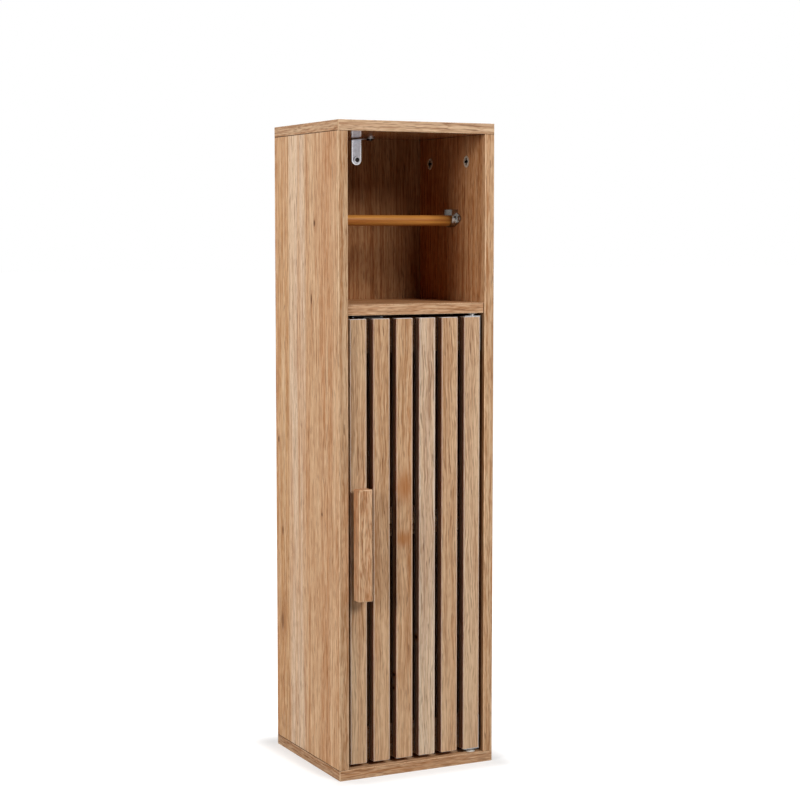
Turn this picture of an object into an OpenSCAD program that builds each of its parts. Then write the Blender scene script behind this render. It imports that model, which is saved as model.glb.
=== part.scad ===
// Tall, narrow toilet roll storage cabinet for a bathroom corner.
// Millimetres. +Z is up, the front faces -Y, and the origin is the centre of the footprint on the floor.
// The top half metre and more stands behind a slatted door; above it is an open bay with a roll bar.

/* [Cabinet] */
// Overall width
cabinet_w = 212; // [200:1:260]
// Overall depth, without the handle
cabinet_d = 195; // [186:1:260]
// Overall height
cabinet_h = 800; // [760:1:960]
// Thickness of the top, bottom, side and shelf boards
board_t = 12.8; // [12:0.2:15]
// Thickness of the back panel
back_t = 12.8; // [12:0.2:15]
// Distance from the cabinet's rear edges to the back panel
back_inset = 6; // [0:0.5:10]
// Clear height of the open bay for the roll
bay_h = 207; // [180:1:240]
// Distance from the cabinet's front edges back to the fixed shelf's front
shelf_setback = 2.5; // [0:0.1:3.5]

/* [Inner shelf] */
// Height of the inner shelf's underside above the floor
inner_shelf_z = 292.5; // [250:0.5:350]
// Thickness of the inner shelf
inner_shelf_t = 12.8; // [10:0.2:15]
// Gap between the back of the closed door and the inner shelf
inner_shelf_gap = 2.7; // [1.6:0.1:20]
// Gap at each end of the inner shelf
inner_shelf_side_gap = 0.8; // [0.4:0.1:1.5]
// Gap between the inner shelf and the back panel
inner_shelf_rear_gap = 0.5; // [0.3:0.1:3]
// Diameter of the shelf pins
shelf_pin_d = 5; // [4:0.5:6]
// Length of a shelf pin inside the side panel
shelf_pin_in = 8; // [6:0.5:9]
// Length of a shelf pin under the shelf
shelf_pin_out = 8; // [6:0.5:12]
// Distance from the shelf's front and rear edges to its pins
shelf_pin_setback = 22; // [15:1:35]
// Height between the pin holes, for moving the shelf
pin_hole_pitch = 64; // [32:32:96]

/* [Door] */
// Distance from the cabinet's front edges back to the door's front
door_recess = 5; // [2:0.5:8]
// Gap between the door and each side panel
door_side_gap = 4.1; // [3.4:0.1:6]
// Gap between the door and the shelf above it
door_top_gap = 4.5; // [3.2:0.1:8]
// Gap between the door and the bottom board
door_bottom_gap = 4.8; // [3.2:0.1:8]
// Gap between two slats
slat_gap = 9; // [5:0.5:11]
// Thickness of a slat
slat_t = 12.8; // [11:0.2:15]
// Rounding of a slat's long edges
slat_edge_r = 1; // [0.5:0.1:1.2]
// Height of the two rails behind the slats
rail_h = 42; // [32:1:60]
// Thickness of the rails
rail_t = 10; // [9:0.5:14]
// How far the rails end inside the door's edges
rail_end_inset = 1; // [0.5:0.5:6]

/* [Handle] */
// Width of the handle bar
handle_w = 18.2; // [14:0.1:21]
// Depth of the handle bar, front to back
handle_d = 16.4; // [12:0.1:24]
// Height of the handle bar
handle_h = 136.5; // [120:0.5:200]
// Rounding of the handle bar's corners
handle_corner_r = 1; // [0.5:0.1:5]
// Gap between the handle bar and the slat
handle_standoff = 5; // [4.5:0.1:12]
// Distance between the handle's two screws
handle_hole_pitch = 96; // [64:16:112]
// Diameter of the handle's spacers
handle_spacer_d = 12; // [8:0.5:14]
// Depth of the handle screws inside the bar
handle_screw_bite = 10; // [7:0.5:11]

/* [Pivot hinges] */
// Distance from the door's right edge to the pivot axis
pivot_inset = 8.5; // [6.5:0.1:9.5]
// Diameter of the pivot pins
pivot_pin_d = 5; // [4:0.1:6]
// Length of a pivot pin inside its bush
pivot_pin_l = 7; // [5:0.5:8]
// Radial clearance of a pivot pin in its bush
pivot_clearance = 0.05; // [0.03:0.01:0.1]
// Thickness of the pivot plates
pivot_plate_t = 1.2; // [0.8:0.1:1.5]
// Width of the pivot plates
pivot_plate_w = 10; // [8.5:0.1:10.4]
// Length of the plate's leg across the end of the slat
pivot_end_leg = 20; // [14:0.5:21]
// Length of the plate's leg down the side of the slat
pivot_side_leg = 42; // [34:1:60]
// Outer diameter of the pivot bushes
pivot_bush_d = 8; // [7.5:0.1:9]
// Diameter of the flange of a pivot bush
pivot_flange_d = 12; // [10:0.5:13]

/* [Magnetic catch] */
// Distance from the left side panel to the middle of the catch
catch_offset = 41.7; // [34:0.5:70]
// Length of the catch's base
catch_w = 46; // [40:0.5:50]
// Height of the catch's housing
catch_h = 13; // [11:0.5:16]
// Depth of the catch's housing, front to back
catch_d = 14; // [12:0.5:18]
// Width of the strike plate
strike_w = 24; // [20:0.5:28]
// Thickness of the strike plate
strike_t = 1.2; // [0.8:0.1:1.5]
// Length of the strike plate below its screws
strike_tail = 6; // [4:0.5:8]
// Gap between the strike plate and the magnet
catch_air_gap = 0.3; // [0.2:0.1:1]

/* [Roll bar] */
// Diameter of the roll bar
roll_bar_d = 13.4; // [11:0.1:15]
// Distance from the cabinet's front edges to the roll bar's sockets
roll_bar_setback = 82.7; // [70:0.1:90]
// Height of the sockets' centres above the fixed shelf
roll_bar_rise = 104.3; // [90:0.1:120]
// Gap at each end of the roll bar
roll_bar_end_gap = 0.5; // [0.3:0.1:2]
// Inner width of the open-topped sockets
socket_bore_d = 19.6; // [17:0.1:22]
// Wall of the sockets
socket_wall = 1.5; // [1:0.1:2.5]
// How far a socket stands out from the side panel
socket_depth = 8; // [6:0.5:12]
// Thickness of the sockets' flanges
socket_flange_t = 2; // [1.5:0.1:3]
// Distance from a socket's centre to each of its screws
socket_screw_offset = 17; // [16.5:0.1:20]
// Gap under the roll bar where it rests in the sockets
roll_bar_seat_gap = 0.3; // [0.3:0.1:0.8]

/* [Wall bracket] */
// Width of the bracket
bracket_w = 13.8; // [12:0.2:20]
// Thickness of the bracket
bracket_t = 1.8; // [1.2:0.1:2.5]
// Length of the leg on the back panel
bracket_drop = 34; // [28:1:60]
// Length of the leg under the top board
bracket_reach = 48; // [28:1:80]

/* [Cam fittings] */
// Diameter of the cam locks
cam_d = 15; // [12:0.5:15]
// Distance from the end of a board to the middle of its cam lock
cam_setback = 32; // [24:0.5:34]
// Distance from the front edge to the front cam locks of the side panels
cam_front = 49.7; // [36:0.1:60]
// Distance from the rear edge to the rear cam locks of the side panels
cam_rear = 46.5; // [40:0.1:60]
// Distance from the front edge to the front cam locks of the fixed shelf
shelf_cam_front = 62; // [58:0.5:70]
// Distance from the back panel to the rear cam locks of the fixed shelf
shelf_cam_rear = 40; // [30:0.5:50]
// Diameter of the cam bolts
cam_bolt_d = 6; // [5:0.1:6.4]
// Length of the cam bolts' thread
cam_thread_l = 8.5; // [7:0.5:10]

/* [Wooden dowels] */
// Diameter of the dowels that line up the boards
dowel_d = 6; // [5:0.5:6.5]
// Depth of a dowel in the face of a board
dowel_in_face = 9; // [7:0.5:10]
// Depth of a dowel in the end of a board
dowel_in_end = 15; // [12:0.5:20]
// Distance from the front and rear edges to the dowels
dowel_setback = 18; // [12:0.5:24]
// Distance from the top and bottom boards to the back panel's outer dowels
back_dowel_margin = 60; // [40:1:90]

/* [Hidden] */
// Radial clearance round a piece that is fixed in a hole
fit_gap = 0.05;
// Extra depth of a blind hole beyond what it holds
hole_spare = 0.5;
// How far a cutting shape starts outside the face that it cuts
overcut = 0.5;
$fn = 48;

// Planes of the carcass
front_y = -cabinet_d / 2;
rear_y = cabinet_d / 2;
outer_x = cabinet_w / 2;
inner_x = outer_x - board_t;
top_z = cabinet_h - board_t;
fixed_shelf_top_z = top_z - bay_h;
fixed_shelf_z = fixed_shelf_top_z - board_t;
back_y = rear_y - back_inset - back_t;

// Planes and sizes of the door
slat_count = 6;
door_left_x = -inner_x + door_side_gap;
door_right_x = inner_x - door_side_gap;
door_low_z = board_t + door_bottom_gap;
door_high_z = fixed_shelf_z - door_top_gap;
door_mid_z = (door_low_z + door_high_z) / 2;
door_front_y = front_y + door_recess;
slat_back_y = door_front_y + slat_t;
door_back_y = slat_back_y + rail_t;
slat_w = (door_right_x - door_left_x - (slat_count - 1) * slat_gap) / slat_count;
function slat_x(number) = door_left_x + (number - 1) * (slat_w + slat_gap);
function slat_mid_x(number) = slat_x(number) + slat_w / 2;

// Screws: shank diameter, head diameter, head height
rail_screw = [3.5, 7, 2.2];
handle_screw = [4, 8, 2.2];
pivot_screw = [3, 5.4, 1.2];
strike_screw = [3, 5.4, 1.4];
catch_screw = [3, 5.6, 1.6];
socket_screw = [3.5, 6.6, 1.9];
bracket_screw = [4, 8.4, 2.4];
rail_screw_bite = 8;
pivot_screw_l = 8;
strike_screw_l = 7.5;
small_screw_bite = 8;
bracket_screw_bite = 9.5;
recess_share = 0.62;
recess_w = 1;
screw_point_l = 2;

// Handle
handle_x = slat_mid_x(1);
handle_back_y = door_front_y - handle_standoff;
handle_screw_zs = [door_mid_z - handle_hole_pitch / 2, door_mid_z + handle_hole_pitch / 2];

// Pivots
pivot_x = door_right_x - pivot_inset;
pivot_y = door_front_y + slat_t / 2;
bush_flange_t = 1;
top_pivot_play = 0.3;
bottom_pivot_play = 0.1;
pivot_shoulder_d = 8;
pivot_screw_steps = [0.36, 0.76];

// Magnetic catch
catch_x = -inner_x + catch_offset;
catch_front_y = door_back_y + strike_t + catch_air_gap;
catch_ear_t = 3;
catch_ear_w = 8;
magnet_w = 24;
magnet_h = 8;
magnet_d = 9;
pole_t = 1;
strike_screw_spread = 14;
strike_screw_clear = 1.8;
strike_screw_drop = catch_h - door_top_gap + strike_screw[1] / 2 + strike_screw_clear;
strike_drop = strike_screw_drop + strike_tail;

// The rails' screws sit just below the strike plate, and as far from the door's lower end
rail_screw_inset = strike_drop + rail_screw[1] / 2 + 1;

// Roll bar and its sockets
roll_bar_y = front_y + roll_bar_setback;
socket_z = fixed_shelf_top_z + roll_bar_rise;
socket_outer_d = socket_bore_d + 2 * socket_wall;
socket_lobe_r = 4;
roll_bar_z = socket_z - (socket_bore_d - roll_bar_d) / 2 + roll_bar_seat_gap;
roll_bar_l = 2 * (inner_x - socket_flange_t - roll_bar_end_gap);
roll_bar_chamfer = 1;

// Cam fittings: the bolts run in the middle of the board's thickness
cam_floor_t = 0.6;
cam_depth = board_t / 2 + cam_bolt_d / 2 + cam_floor_t;
cam_front_y = front_y + cam_front;
cam_rear_y = rear_y - cam_rear;
shelf_cam_ys = [front_y + shelf_cam_front, back_y - shelf_cam_rear];
cam_bolt_head_l = 3;
cam_bolt_neck_l = 4;
cam_bolt_neck_d = 3.6;
cam_thread_d = 5;
cam_slot_play = 0.3;
bolt_bore_d = cam_bolt_d + 1;
cam_rim_t = 1;
cam_cross_w = 3;
cam_cross_depth = 1.8;

// Dowels
end_dowel_ys = [front_y + dowel_setback, rear_y - dowel_setback];
shelf_dowel_ys = [front_y + dowel_setback + pivot_bush_d, back_y - dowel_setback];
back_dowel_count = 4;
back_dowel_step = (top_z - board_t - 2 * back_dowel_margin) / (back_dowel_count - 1);
back_dowel_y = back_y + back_t / 2;

// Inner shelf
inner_shelf_front_y = door_back_y + inner_shelf_gap;
inner_shelf_rear_y = back_y - inner_shelf_rear_gap;
shelf_pin_ys = [inner_shelf_front_y + shelf_pin_setback, inner_shelf_rear_y - shelf_pin_setback];
shelf_pin_z = inner_shelf_z - shelf_pin_d / 2;

oak = [0.80, 0.66, 0.50];
oak_light = [0.85, 0.72, 0.57];
oak_red = [0.78, 0.58, 0.42];
bamboo = [0.79, 0.56, 0.26];
beech = [0.86, 0.72, 0.52];
steel = [0.72, 0.73, 0.75];
zinc = [0.58, 0.58, 0.58];
nylon = [0.90, 0.89, 0.85];
dark_plastic = [0.30, 0.20, 0.14];
magnet_grey = [0.22, 0.22, 0.24];

// ---------------------------------------------------------------- helpers

// A box given by its lowest and highest corners
module block(low, high) {
    translate(low) cube(high - low);
}

// A round hole that goes down from a face at z = 0
module bore(d, depth) {
    translate([0, 0, -depth]) cylinder(d = d, h = depth + overcut);
}

// A rectangle with round corners, centred
module rounded_rectangle(w, h, r) {
    square([w - 2 * r, h], center = true);
    square([w, h - 2 * r], center = true);
    for (x = [-1, 1], y = [-1, 1])
        translate([x * (w / 2 - r), y * (h / 2 - r)]) circle(r = r);
}

// The crossed slot in the head of a screw or cam lock, open at z = 0
module cross_slot(d, depth, w = recess_w) {
    for (turn = [0, 90])
        rotate([0, 0, turn]) translate([-d / 2, -w / 2, -depth]) cube([d, w, depth + overcut]);
}

// A screw's shank below z = 0, with its point
module screw_shank(size, length) {
    translate([0, 0, screw_point_l - length]) cylinder(d = size[0], h = length - screw_point_l);
    translate([0, 0, -length]) cylinder(d1 = size[0] / 3, d2 = size[0], h = screw_point_l);
}

// A screw whose flat head stands on z = 0
module pan_screw(size, length) {
    difference() {
        cylinder(d = size[1], h = size[2]);
        translate([0, 0, size[2]]) cross_slot(size[1] * recess_share, size[2] * recess_share);
    }
    screw_shank(size, length);
}

// A screw whose tapered head is flush with z = 0
module flush_screw(size, length) {
    difference() {
        union() {
            translate([0, 0, -size[2]]) cylinder(d1 = size[0], d2 = size[1], h = size[2]);
            screw_shank(size, length);
        }
        cross_slot(size[1] * recess_share, size[2] * recess_share);
    }
}

// The hole for a screw's shank
module screw_hole(size, depth) {
    bore(size[0] + 2 * fit_gap, depth);
}

// The hole for a flush screw, with its countersink
module flush_hole(size, depth) {
    screw_hole(size, depth);
    translate([0, 0, -size[2]])
        cylinder(d1 = size[0] + 2 * fit_gap, d2 = size[1] + 2 * fit_gap, h = size[2]);
    bore(size[1] + 2 * fit_gap, 0);
}

// Children made for the right side (0) or mirrored to the left side (1)
module on_side(side) {
    mirror([side, 0, 0]) children();
}

// Children at both ends of one side panel: z = 0 is the panel's end, x = 0 its inner face
module at_panel_ends(side) {
    for (end = [0, 1])
        on_side(side) translate([0, 0, cabinet_h / 2]) mirror([0, 0, end])
            translate([inner_x, 0, cabinet_h / 2 - board_t]) children();
}

// ---------------------------------------------------------------- cam fittings and dowels

// Places of the two cam locks at a panel's end: z points out of the face, x to the panel's end
module panel_cams() {
    for (y = [cam_front_y, cam_rear_y])
        translate([0, y, -cam_setback]) rotate([0, -90, 0]) children();
}

// Places of the two cam locks at one end of the fixed shelf, in its underside
module shelf_cams(side) {
    for (y = shelf_cam_ys)
        on_side(side) translate([inner_x - cam_setback, y, fixed_shelf_z]) rotate([180, 0, 0]) children();
}

// Pocket for a cam lock, and the hole for its bolt
module cam_pocket() {
    bore(cam_d, cam_depth);
    translate([0, 0, -board_t / 2]) rotate([0, 90, 0])
        cylinder(d = bolt_bore_d, h = cam_setback + overcut);
}

// Hole for the bolt's thread in the board that it pulls
module cam_thread_hole() {
    translate([cam_setback - overcut, 0, -board_t / 2]) rotate([0, 90, 0])
        cylinder(d = cam_thread_d + 2 * fit_gap, h = cam_thread_l + hole_spare + overcut);
}

module cam_lock() {
    difference() {
        translate([0, 0, -cam_depth]) cylinder(d = cam_d - 2 * fit_gap, h = cam_depth);
        translate([-cam_bolt_d / 2, 0, -board_t / 2]) rotate([0, 90, 0])
            cylinder(d = cam_bolt_d + 2 * cam_slot_play, h = cam_d);
        cross_slot(cam_d * recess_share, cam_cross_depth, cam_cross_w);
        translate([0, 0, -cam_rim_t / 2]) difference() {
            cylinder(d = cam_d + overcut, h = cam_rim_t);
            translate([0, 0, -overcut]) cylinder(d = cam_d - 2 * cam_rim_t, h = cam_rim_t + 2 * overcut);
        }
    }
}

module cam_bolt() {
    guide_x = cam_bolt_head_l + cam_bolt_neck_l;
    translate([0, 0, -board_t / 2]) rotate([0, 90, 0]) {
        translate([0, 0, -cam_bolt_head_l / 2]) cylinder(d = cam_bolt_d, h = cam_bolt_head_l);
        cylinder(d = cam_bolt_neck_d, h = cam_setback);
        translate([0, 0, guide_x]) cylinder(d = cam_bolt_d, h = cam_setback - guide_x);
        translate([0, 0, cam_setback]) cylinder(d = cam_thread_d, h = cam_thread_l);
    }
}

// A dowel across a joint at z = 0: the end of a board is below it, the face of the other above
module joint_dowel() {
    translate([0, 0, -dowel_in_end]) cylinder(d = dowel_d, h = dowel_in_end + dowel_in_face);
}

// The hole for a dowel in both boards of a joint
module dowel_hole() {
    translate([0, 0, -dowel_in_end - hole_spare])
        cylinder(d = dowel_d + 2 * fit_gap, h = dowel_in_end + dowel_in_face + 2 * hole_spare);
}

// Places of the two dowels at a panel's end
module panel_end_dowels() {
    for (y = end_dowel_ys) translate([board_t / 2, y, 0]) children();
}

// Places of the dowels between the fixed shelf and one side panel
module shelf_dowels(side) {
    for (y = shelf_dowel_ys)
        on_side(side) translate([inner_x, y, fixed_shelf_z + board_t / 2]) rotate([0, 90, 0]) children();
}

// Places of the dowels between the back panel and one side panel
module back_dowels(side) {
    for (step = [0 : back_dowel_count - 1])
        on_side(side) translate([inner_x, back_dowel_y, board_t + back_dowel_margin + step * back_dowel_step])
            rotate([0, 90, 0]) children();
}

// ---------------------------------------------------------------- carcass

module top_board() {
    color(oak) difference() {
        block([-outer_x, front_y, top_z], [outer_x, rear_y, cabinet_h]);
        for (side = [0, 1]) at_panel_ends(side) {
            panel_cams() cam_thread_hole();
            panel_end_dowels() dowel_hole();
        }
        at_bracket_top_screw() screw_hole(bracket_screw, bracket_t + bracket_screw_bite + hole_spare);
    }
}

module bottom_board() {
    color(oak) difference() {
        block([-outer_x, front_y, 0], [outer_x, rear_y, board_t]);
        for (side = [0, 1]) at_panel_ends(side) {
            panel_cams() cam_thread_hole();
            panel_end_dowels() dowel_hole();
        }
        at_bottom_pivot() bush_hole();
    }
}

module side_panel(side) {
    color(side == 0 ? oak_light : oak_red) difference() {
        on_side(side) block([inner_x, front_y, board_t], [outer_x, rear_y, top_z]);
        at_panel_ends(side) {
            panel_cams() cam_pocket();
            panel_end_dowels() dowel_hole();
        }
        shelf_cams(side) cam_thread_hole();
        shelf_dowels(side) dowel_hole();
        back_dowels(side) dowel_hole();
        at_socket(side) socket_screw_places()
            screw_hole(socket_screw, socket_flange_t + small_screw_bite + hole_spare);
        for (row = [-1, 0, 1]) translate([0, 0, row * pin_hole_pitch]) at_shelf_pins(side)
            bore(shelf_pin_d + 2 * fit_gap, shelf_pin_in + hole_spare);
    }
}

module back_panel() {
    color(oak_red) difference() {
        block([-inner_x, back_y, board_t], [inner_x, back_y + back_t, top_z]);
        for (side = [0, 1]) back_dowels(side) dowel_hole();
        at_bracket_back_screw() screw_hole(bracket_screw, bracket_t + bracket_screw_bite + hole_spare);
    }
}

module fixed_shelf() {
    color(oak) difference() {
        block([-inner_x, front_y + shelf_setback, fixed_shelf_z], [inner_x, back_y, fixed_shelf_top_z]);
        for (side = [0, 1]) {
            shelf_cams(side) cam_pocket();
            shelf_dowels(side) dowel_hole();
        }
        at_top_pivot() bush_hole();
        at_catch_screws() screw_hole(catch_screw, catch_ear_t + small_screw_bite + hole_spare);
    }
}

// ---------------------------------------------------------------- inner shelf

// Places of one side panel's pins: z points out of the panel's inner face
module at_shelf_pins(side) {
    for (y = shelf_pin_ys)
        on_side(side) translate([inner_x, y, shelf_pin_z]) rotate([0, -90, 0]) children();
}

module inner_shelf() {
    end_x = inner_x - inner_shelf_side_gap;
    color(oak_light)
        block([-end_x, inner_shelf_front_y, inner_shelf_z],
              [end_x, inner_shelf_rear_y, inner_shelf_z + inner_shelf_t]);
}

module shelf_pins() {
    tip_l = 0.8;
    color(steel) for (side = [0, 1]) at_shelf_pins(side) {
        translate([0, 0, -shelf_pin_in]) cylinder(d = shelf_pin_d, h = shelf_pin_in + shelf_pin_out - tip_l);
        translate([0, 0, shelf_pin_out - tip_l])
            cylinder(d1 = shelf_pin_d, d2 = shelf_pin_d - 2 * tip_l, h = tip_l);
    }
}

// ---------------------------------------------------------------- fittings of the carcass

module cam_locks() {
    color(zinc) for (side = [0, 1]) {
        at_panel_ends(side) panel_cams() cam_lock();
        shelf_cams(side) cam_lock();
    }
}

module cam_bolts() {
    color(steel) for (side = [0, 1]) {
        at_panel_ends(side) panel_cams() cam_bolt();
        shelf_cams(side) cam_bolt();
    }
}

module joint_dowels() {
    color(beech) for (side = [0, 1]) {
        at_panel_ends(side) panel_end_dowels() joint_dowel();
        shelf_dowels(side) joint_dowel();
        back_dowels(side) joint_dowel();
    }
}

// ---------------------------------------------------------------- wall bracket

// Places of the bracket's screws: z = 0 is the bracket's face, z points away from the board
module at_bracket_back_screw() {
    translate([0, back_y - bracket_t, top_z - bracket_drop + bracket_w / 2]) rotate([90, 0, 0]) children();
}

module at_bracket_top_screw() {
    translate([0, back_y - bracket_reach + bracket_w / 2, top_z - bracket_t]) rotate([180, 0, 0]) children();
}

// A flat leg with a round end, lying below z = 0 and running from y = 0 to its round end's middle
module bracket_leg(length) {
    translate([0, 0, -bracket_t]) linear_extrude(bracket_t) {
        translate([-bracket_w / 2, 0]) square([bracket_w, length - bracket_w / 2]);
        translate([0, length - bracket_w / 2]) circle(d = bracket_w);
    }
}

module wall_bracket() {
    color(steel) difference() {
        union() {
            translate([0, back_y - bracket_t, top_z]) rotate([90, 0, 0]) mirror([0, 1, 0])
                bracket_leg(bracket_drop);
            translate([0, back_y, top_z - bracket_t]) rotate([180, 0, 0]) bracket_leg(bracket_reach);
        }
        at_bracket_back_screw() screw_hole(bracket_screw, bracket_t + overcut);
        at_bracket_top_screw() screw_hole(bracket_screw, bracket_t + overcut);
    }
}

module wall_bracket_screws() {
    color(steel) {
        at_bracket_back_screw() pan_screw(bracket_screw, bracket_t + bracket_screw_bite);
        at_bracket_top_screw() pan_screw(bracket_screw, bracket_t + bracket_screw_bite);
    }
}

// ---------------------------------------------------------------- roll bar and sockets

// A socket's frame: z points out of the side panel, x up, y along the depth
module at_socket(side) {
    on_side(side) translate([inner_x, roll_bar_y, socket_z]) rotate([0, -90, 0]) children();
}

// Places of a socket's screws on the front of its flange
module socket_screw_places() {
    for (way = [-1, 1]) translate([0, way * socket_screw_offset, socket_flange_t]) children();
}

// The flange: a disc drawn out to a small round lobe at each screw
module flange_outline() {
    disc_r = socket_outer_d / 2;
    turn = acos((disc_r - socket_lobe_r) / socket_screw_offset);
    disc_point = disc_r * [sin(turn), cos(turn)];
    lobe_point = [0, socket_screw_offset] + socket_lobe_r * [sin(turn), cos(turn)];
    circle(r = disc_r);
    for (way = [-1, 1]) {
        translate([0, way * socket_screw_offset]) circle(r = socket_lobe_r);
        scale_y = [1, way];
        polygon([[0, 0],
                 [disc_point[0] * scale_y[0], disc_point[1] * scale_y[1]],
                 [lobe_point[0] * scale_y[0], lobe_point[1] * scale_y[1]],
                 [0, socket_screw_offset * way],
                 [-lobe_point[0] * scale_y[0], lobe_point[1] * scale_y[1]],
                 [-disc_point[0] * scale_y[0], disc_point[1] * scale_y[1]]]);
    }
}

module roll_socket(side) {
    color(zinc) at_socket(side) difference() {
        union() {
            linear_extrude(socket_flange_t) flange_outline();
            cylinder(d = socket_outer_d, h = socket_depth);
            translate([0, -socket_outer_d / 2, 0]) cube([socket_outer_d / 2, socket_outer_d, socket_depth]);
        }
        translate([0, 0, socket_flange_t]) cylinder(d = socket_bore_d, h = socket_depth);
        translate([0, -socket_bore_d / 2, socket_flange_t])
            cube([socket_outer_d, socket_bore_d, socket_depth]);
        socket_screw_places() screw_hole(socket_screw, socket_flange_t + overcut);
    }
}

module roll_socket_screws() {
    color(steel) for (side = [0, 1])
        at_socket(side) socket_screw_places() pan_screw(socket_screw, socket_flange_t + small_screw_bite);
}

module roll_bar() {
    straight_l = roll_bar_l - 2 * roll_bar_chamfer;
    color(bamboo) translate([0, roll_bar_y, roll_bar_z]) rotate([0, 90, 0]) {
        cylinder(d = roll_bar_d, h = straight_l, center = true);
        for (end = [0, 1]) mirror([0, 0, end]) translate([0, 0, straight_l / 2])
            cylinder(d1 = roll_bar_d, d2 = roll_bar_d - 2 * roll_bar_chamfer, h = roll_bar_chamfer);
    }
}

// ---------------------------------------------------------------- door

// Places where the rails are screwed to one slat: z points out of the rails' backs
module rail_screw_places(number) {
    for (z = [door_low_z + rail_screw_inset, door_high_z - rail_screw_inset])
        translate([slat_mid_x(number), door_back_y, z]) rotate([-90, 0, 0]) children();
}

// Places of the handle's screws: z points out of the slat's back
module handle_screw_places() {
    for (z = handle_screw_zs) translate([handle_x, slat_back_y, z]) rotate([-90, 0, 0]) children();
}

module door_slat(number) {
    color(oak_light) difference() {
        translate([slat_mid_x(number), (door_front_y + slat_back_y) / 2, door_low_z])
            linear_extrude(door_high_z - door_low_z) rounded_rectangle(slat_w, slat_t, slat_edge_r);
        rail_screw_places(number) screw_hole(rail_screw, rail_t + rail_screw_bite + hole_spare);
        if (number == 1) handle_screw_places() screw_hole(handle_screw, slat_t + overcut);
        if (number == slat_count) pivot_screw_places()
            screw_hole(pivot_screw, pivot_plate_t + pivot_screw_l + hole_spare);
    }
}

module door_rail(low_z) {
    color(oak) difference() {
        block([door_left_x + rail_end_inset, slat_back_y, low_z],
              [door_right_x - rail_end_inset, door_back_y, low_z + rail_h]);
        for (number = [1 : slat_count]) rail_screw_places(number) flush_hole(rail_screw, rail_t + overcut);
        strike_screw_places() screw_hole(strike_screw, strike_t + strike_screw_l + hole_spare);
    }
}

module rail_screws() {
    color(steel) for (number = [1 : slat_count])
        rail_screw_places(number) flush_screw(rail_screw, rail_t + rail_screw_bite);
}

// ---------------------------------------------------------------- handle

module handle_bar() {
    color(oak_red) difference() {
        translate([handle_x, handle_back_y, door_mid_z]) rotate([90, 0, 0])
            linear_extrude(handle_d) rounded_rectangle(handle_w, handle_h, handle_corner_r);
        handle_screw_places()
            screw_hole(handle_screw, slat_t + handle_standoff + handle_screw_bite + hole_spare);
    }
}

module handle_spacers() {
    color(oak) difference() {
        for (z = handle_screw_zs)
            translate([handle_x, door_front_y, z]) rotate([90, 0, 0])
                cylinder(d = handle_spacer_d, h = handle_standoff);
        handle_screw_places() screw_hole(handle_screw, slat_t + handle_standoff + overcut);
    }
}

module handle_screws() {
    color(steel) handle_screw_places() pan_screw(handle_screw, slat_t + handle_standoff + handle_screw_bite);
}

// ---------------------------------------------------------------- pivot hinges

// Frames of the two pivots: z = 0 is the board's face, z points into the board
module at_top_pivot() {
    translate([pivot_x, pivot_y, fixed_shelf_z]) children();
}

module at_bottom_pivot() {
    translate([pivot_x, pivot_y, board_t]) mirror([0, 0, 1]) children();
}

// The hole for a bush
module bush_hole() {
    translate([0, 0, -overcut])
        cylinder(d = pivot_bush_d + 2 * fit_gap, h = pivot_pin_l + hole_spare + overcut);
}

module pivot_bush() {
    bush_l = bush_flange_t + pivot_pin_l + hole_spare;
    difference() {
        union() {
            cylinder(d = pivot_bush_d, h = pivot_pin_l + hole_spare);
            translate([0, 0, -bush_flange_t]) cylinder(d = pivot_flange_d, h = bush_flange_t);
        }
        translate([0, 0, -bush_flange_t - overcut])
            cylinder(d = pivot_pin_d + 2 * pivot_clearance, h = bush_l + 2 * overcut);
    }
}

// Places of one plate's screws: z = 0 is the plate's face, z points away from the slat
module plate_screw_places(board_gap) {
    for (step = pivot_screw_steps)
        translate([pivot_inset + pivot_plate_t, 0, -board_gap - step * pivot_side_leg])
            rotate([0, 90, 0]) children();
}

module pivot_screw_places() {
    at_top_pivot() plate_screw_places(door_top_gap) children();
    at_bottom_pivot() plate_screw_places(door_bottom_gap) children();
}

// A corner plate with its pin; the slat's end lies board_gap below z = 0
module pivot_plate(board_gap, play) {
    face_z = -board_gap + pivot_plate_t;
    side_x = pivot_inset + pivot_plate_t;
    shoulder_l = board_gap - pivot_plate_t - bush_flange_t - play;
    difference() {
        union() {
            block([pivot_inset - pivot_end_leg, -pivot_plate_w / 2, -board_gap],
                  [side_x, pivot_plate_w / 2, face_z]);
            block([pivot_inset, -pivot_plate_w / 2, -board_gap - pivot_side_leg],
                  [side_x, pivot_plate_w / 2, face_z]);
            translate([0, 0, face_z]) cylinder(d = pivot_shoulder_d, h = shoulder_l);
            translate([0, 0, face_z]) cylinder(d = pivot_pin_d, h = pivot_pin_l - face_z);
        }
        plate_screw_places(board_gap) screw_hole(pivot_screw, pivot_plate_t + overcut);
    }
}

module top_pivot_plate() {
    color(steel) at_top_pivot() pivot_plate(door_top_gap, top_pivot_play);
}

module bottom_pivot_plate() {
    color(steel) at_bottom_pivot() pivot_plate(door_bottom_gap, bottom_pivot_play);
}

module pivot_plate_screws() {
    color(steel) pivot_screw_places() pan_screw(pivot_screw, pivot_plate_t + pivot_screw_l);
}

module top_pivot_bush() {
    color(nylon) at_top_pivot() pivot_bush();
}

module bottom_pivot_bush() {
    color(nylon) at_bottom_pivot() pivot_bush();
}

// ---------------------------------------------------------------- magnetic catch

// Places of the catch's screws: z = 0 is the ears' lower face, z points down
module at_catch_screws() {
    for (way = [-1, 1])
        translate([catch_x + way * (catch_w - catch_ear_w) / 2, catch_front_y + catch_d / 2,
                   fixed_shelf_z - catch_ear_t]) rotate([180, 0, 0]) children();
}

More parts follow.
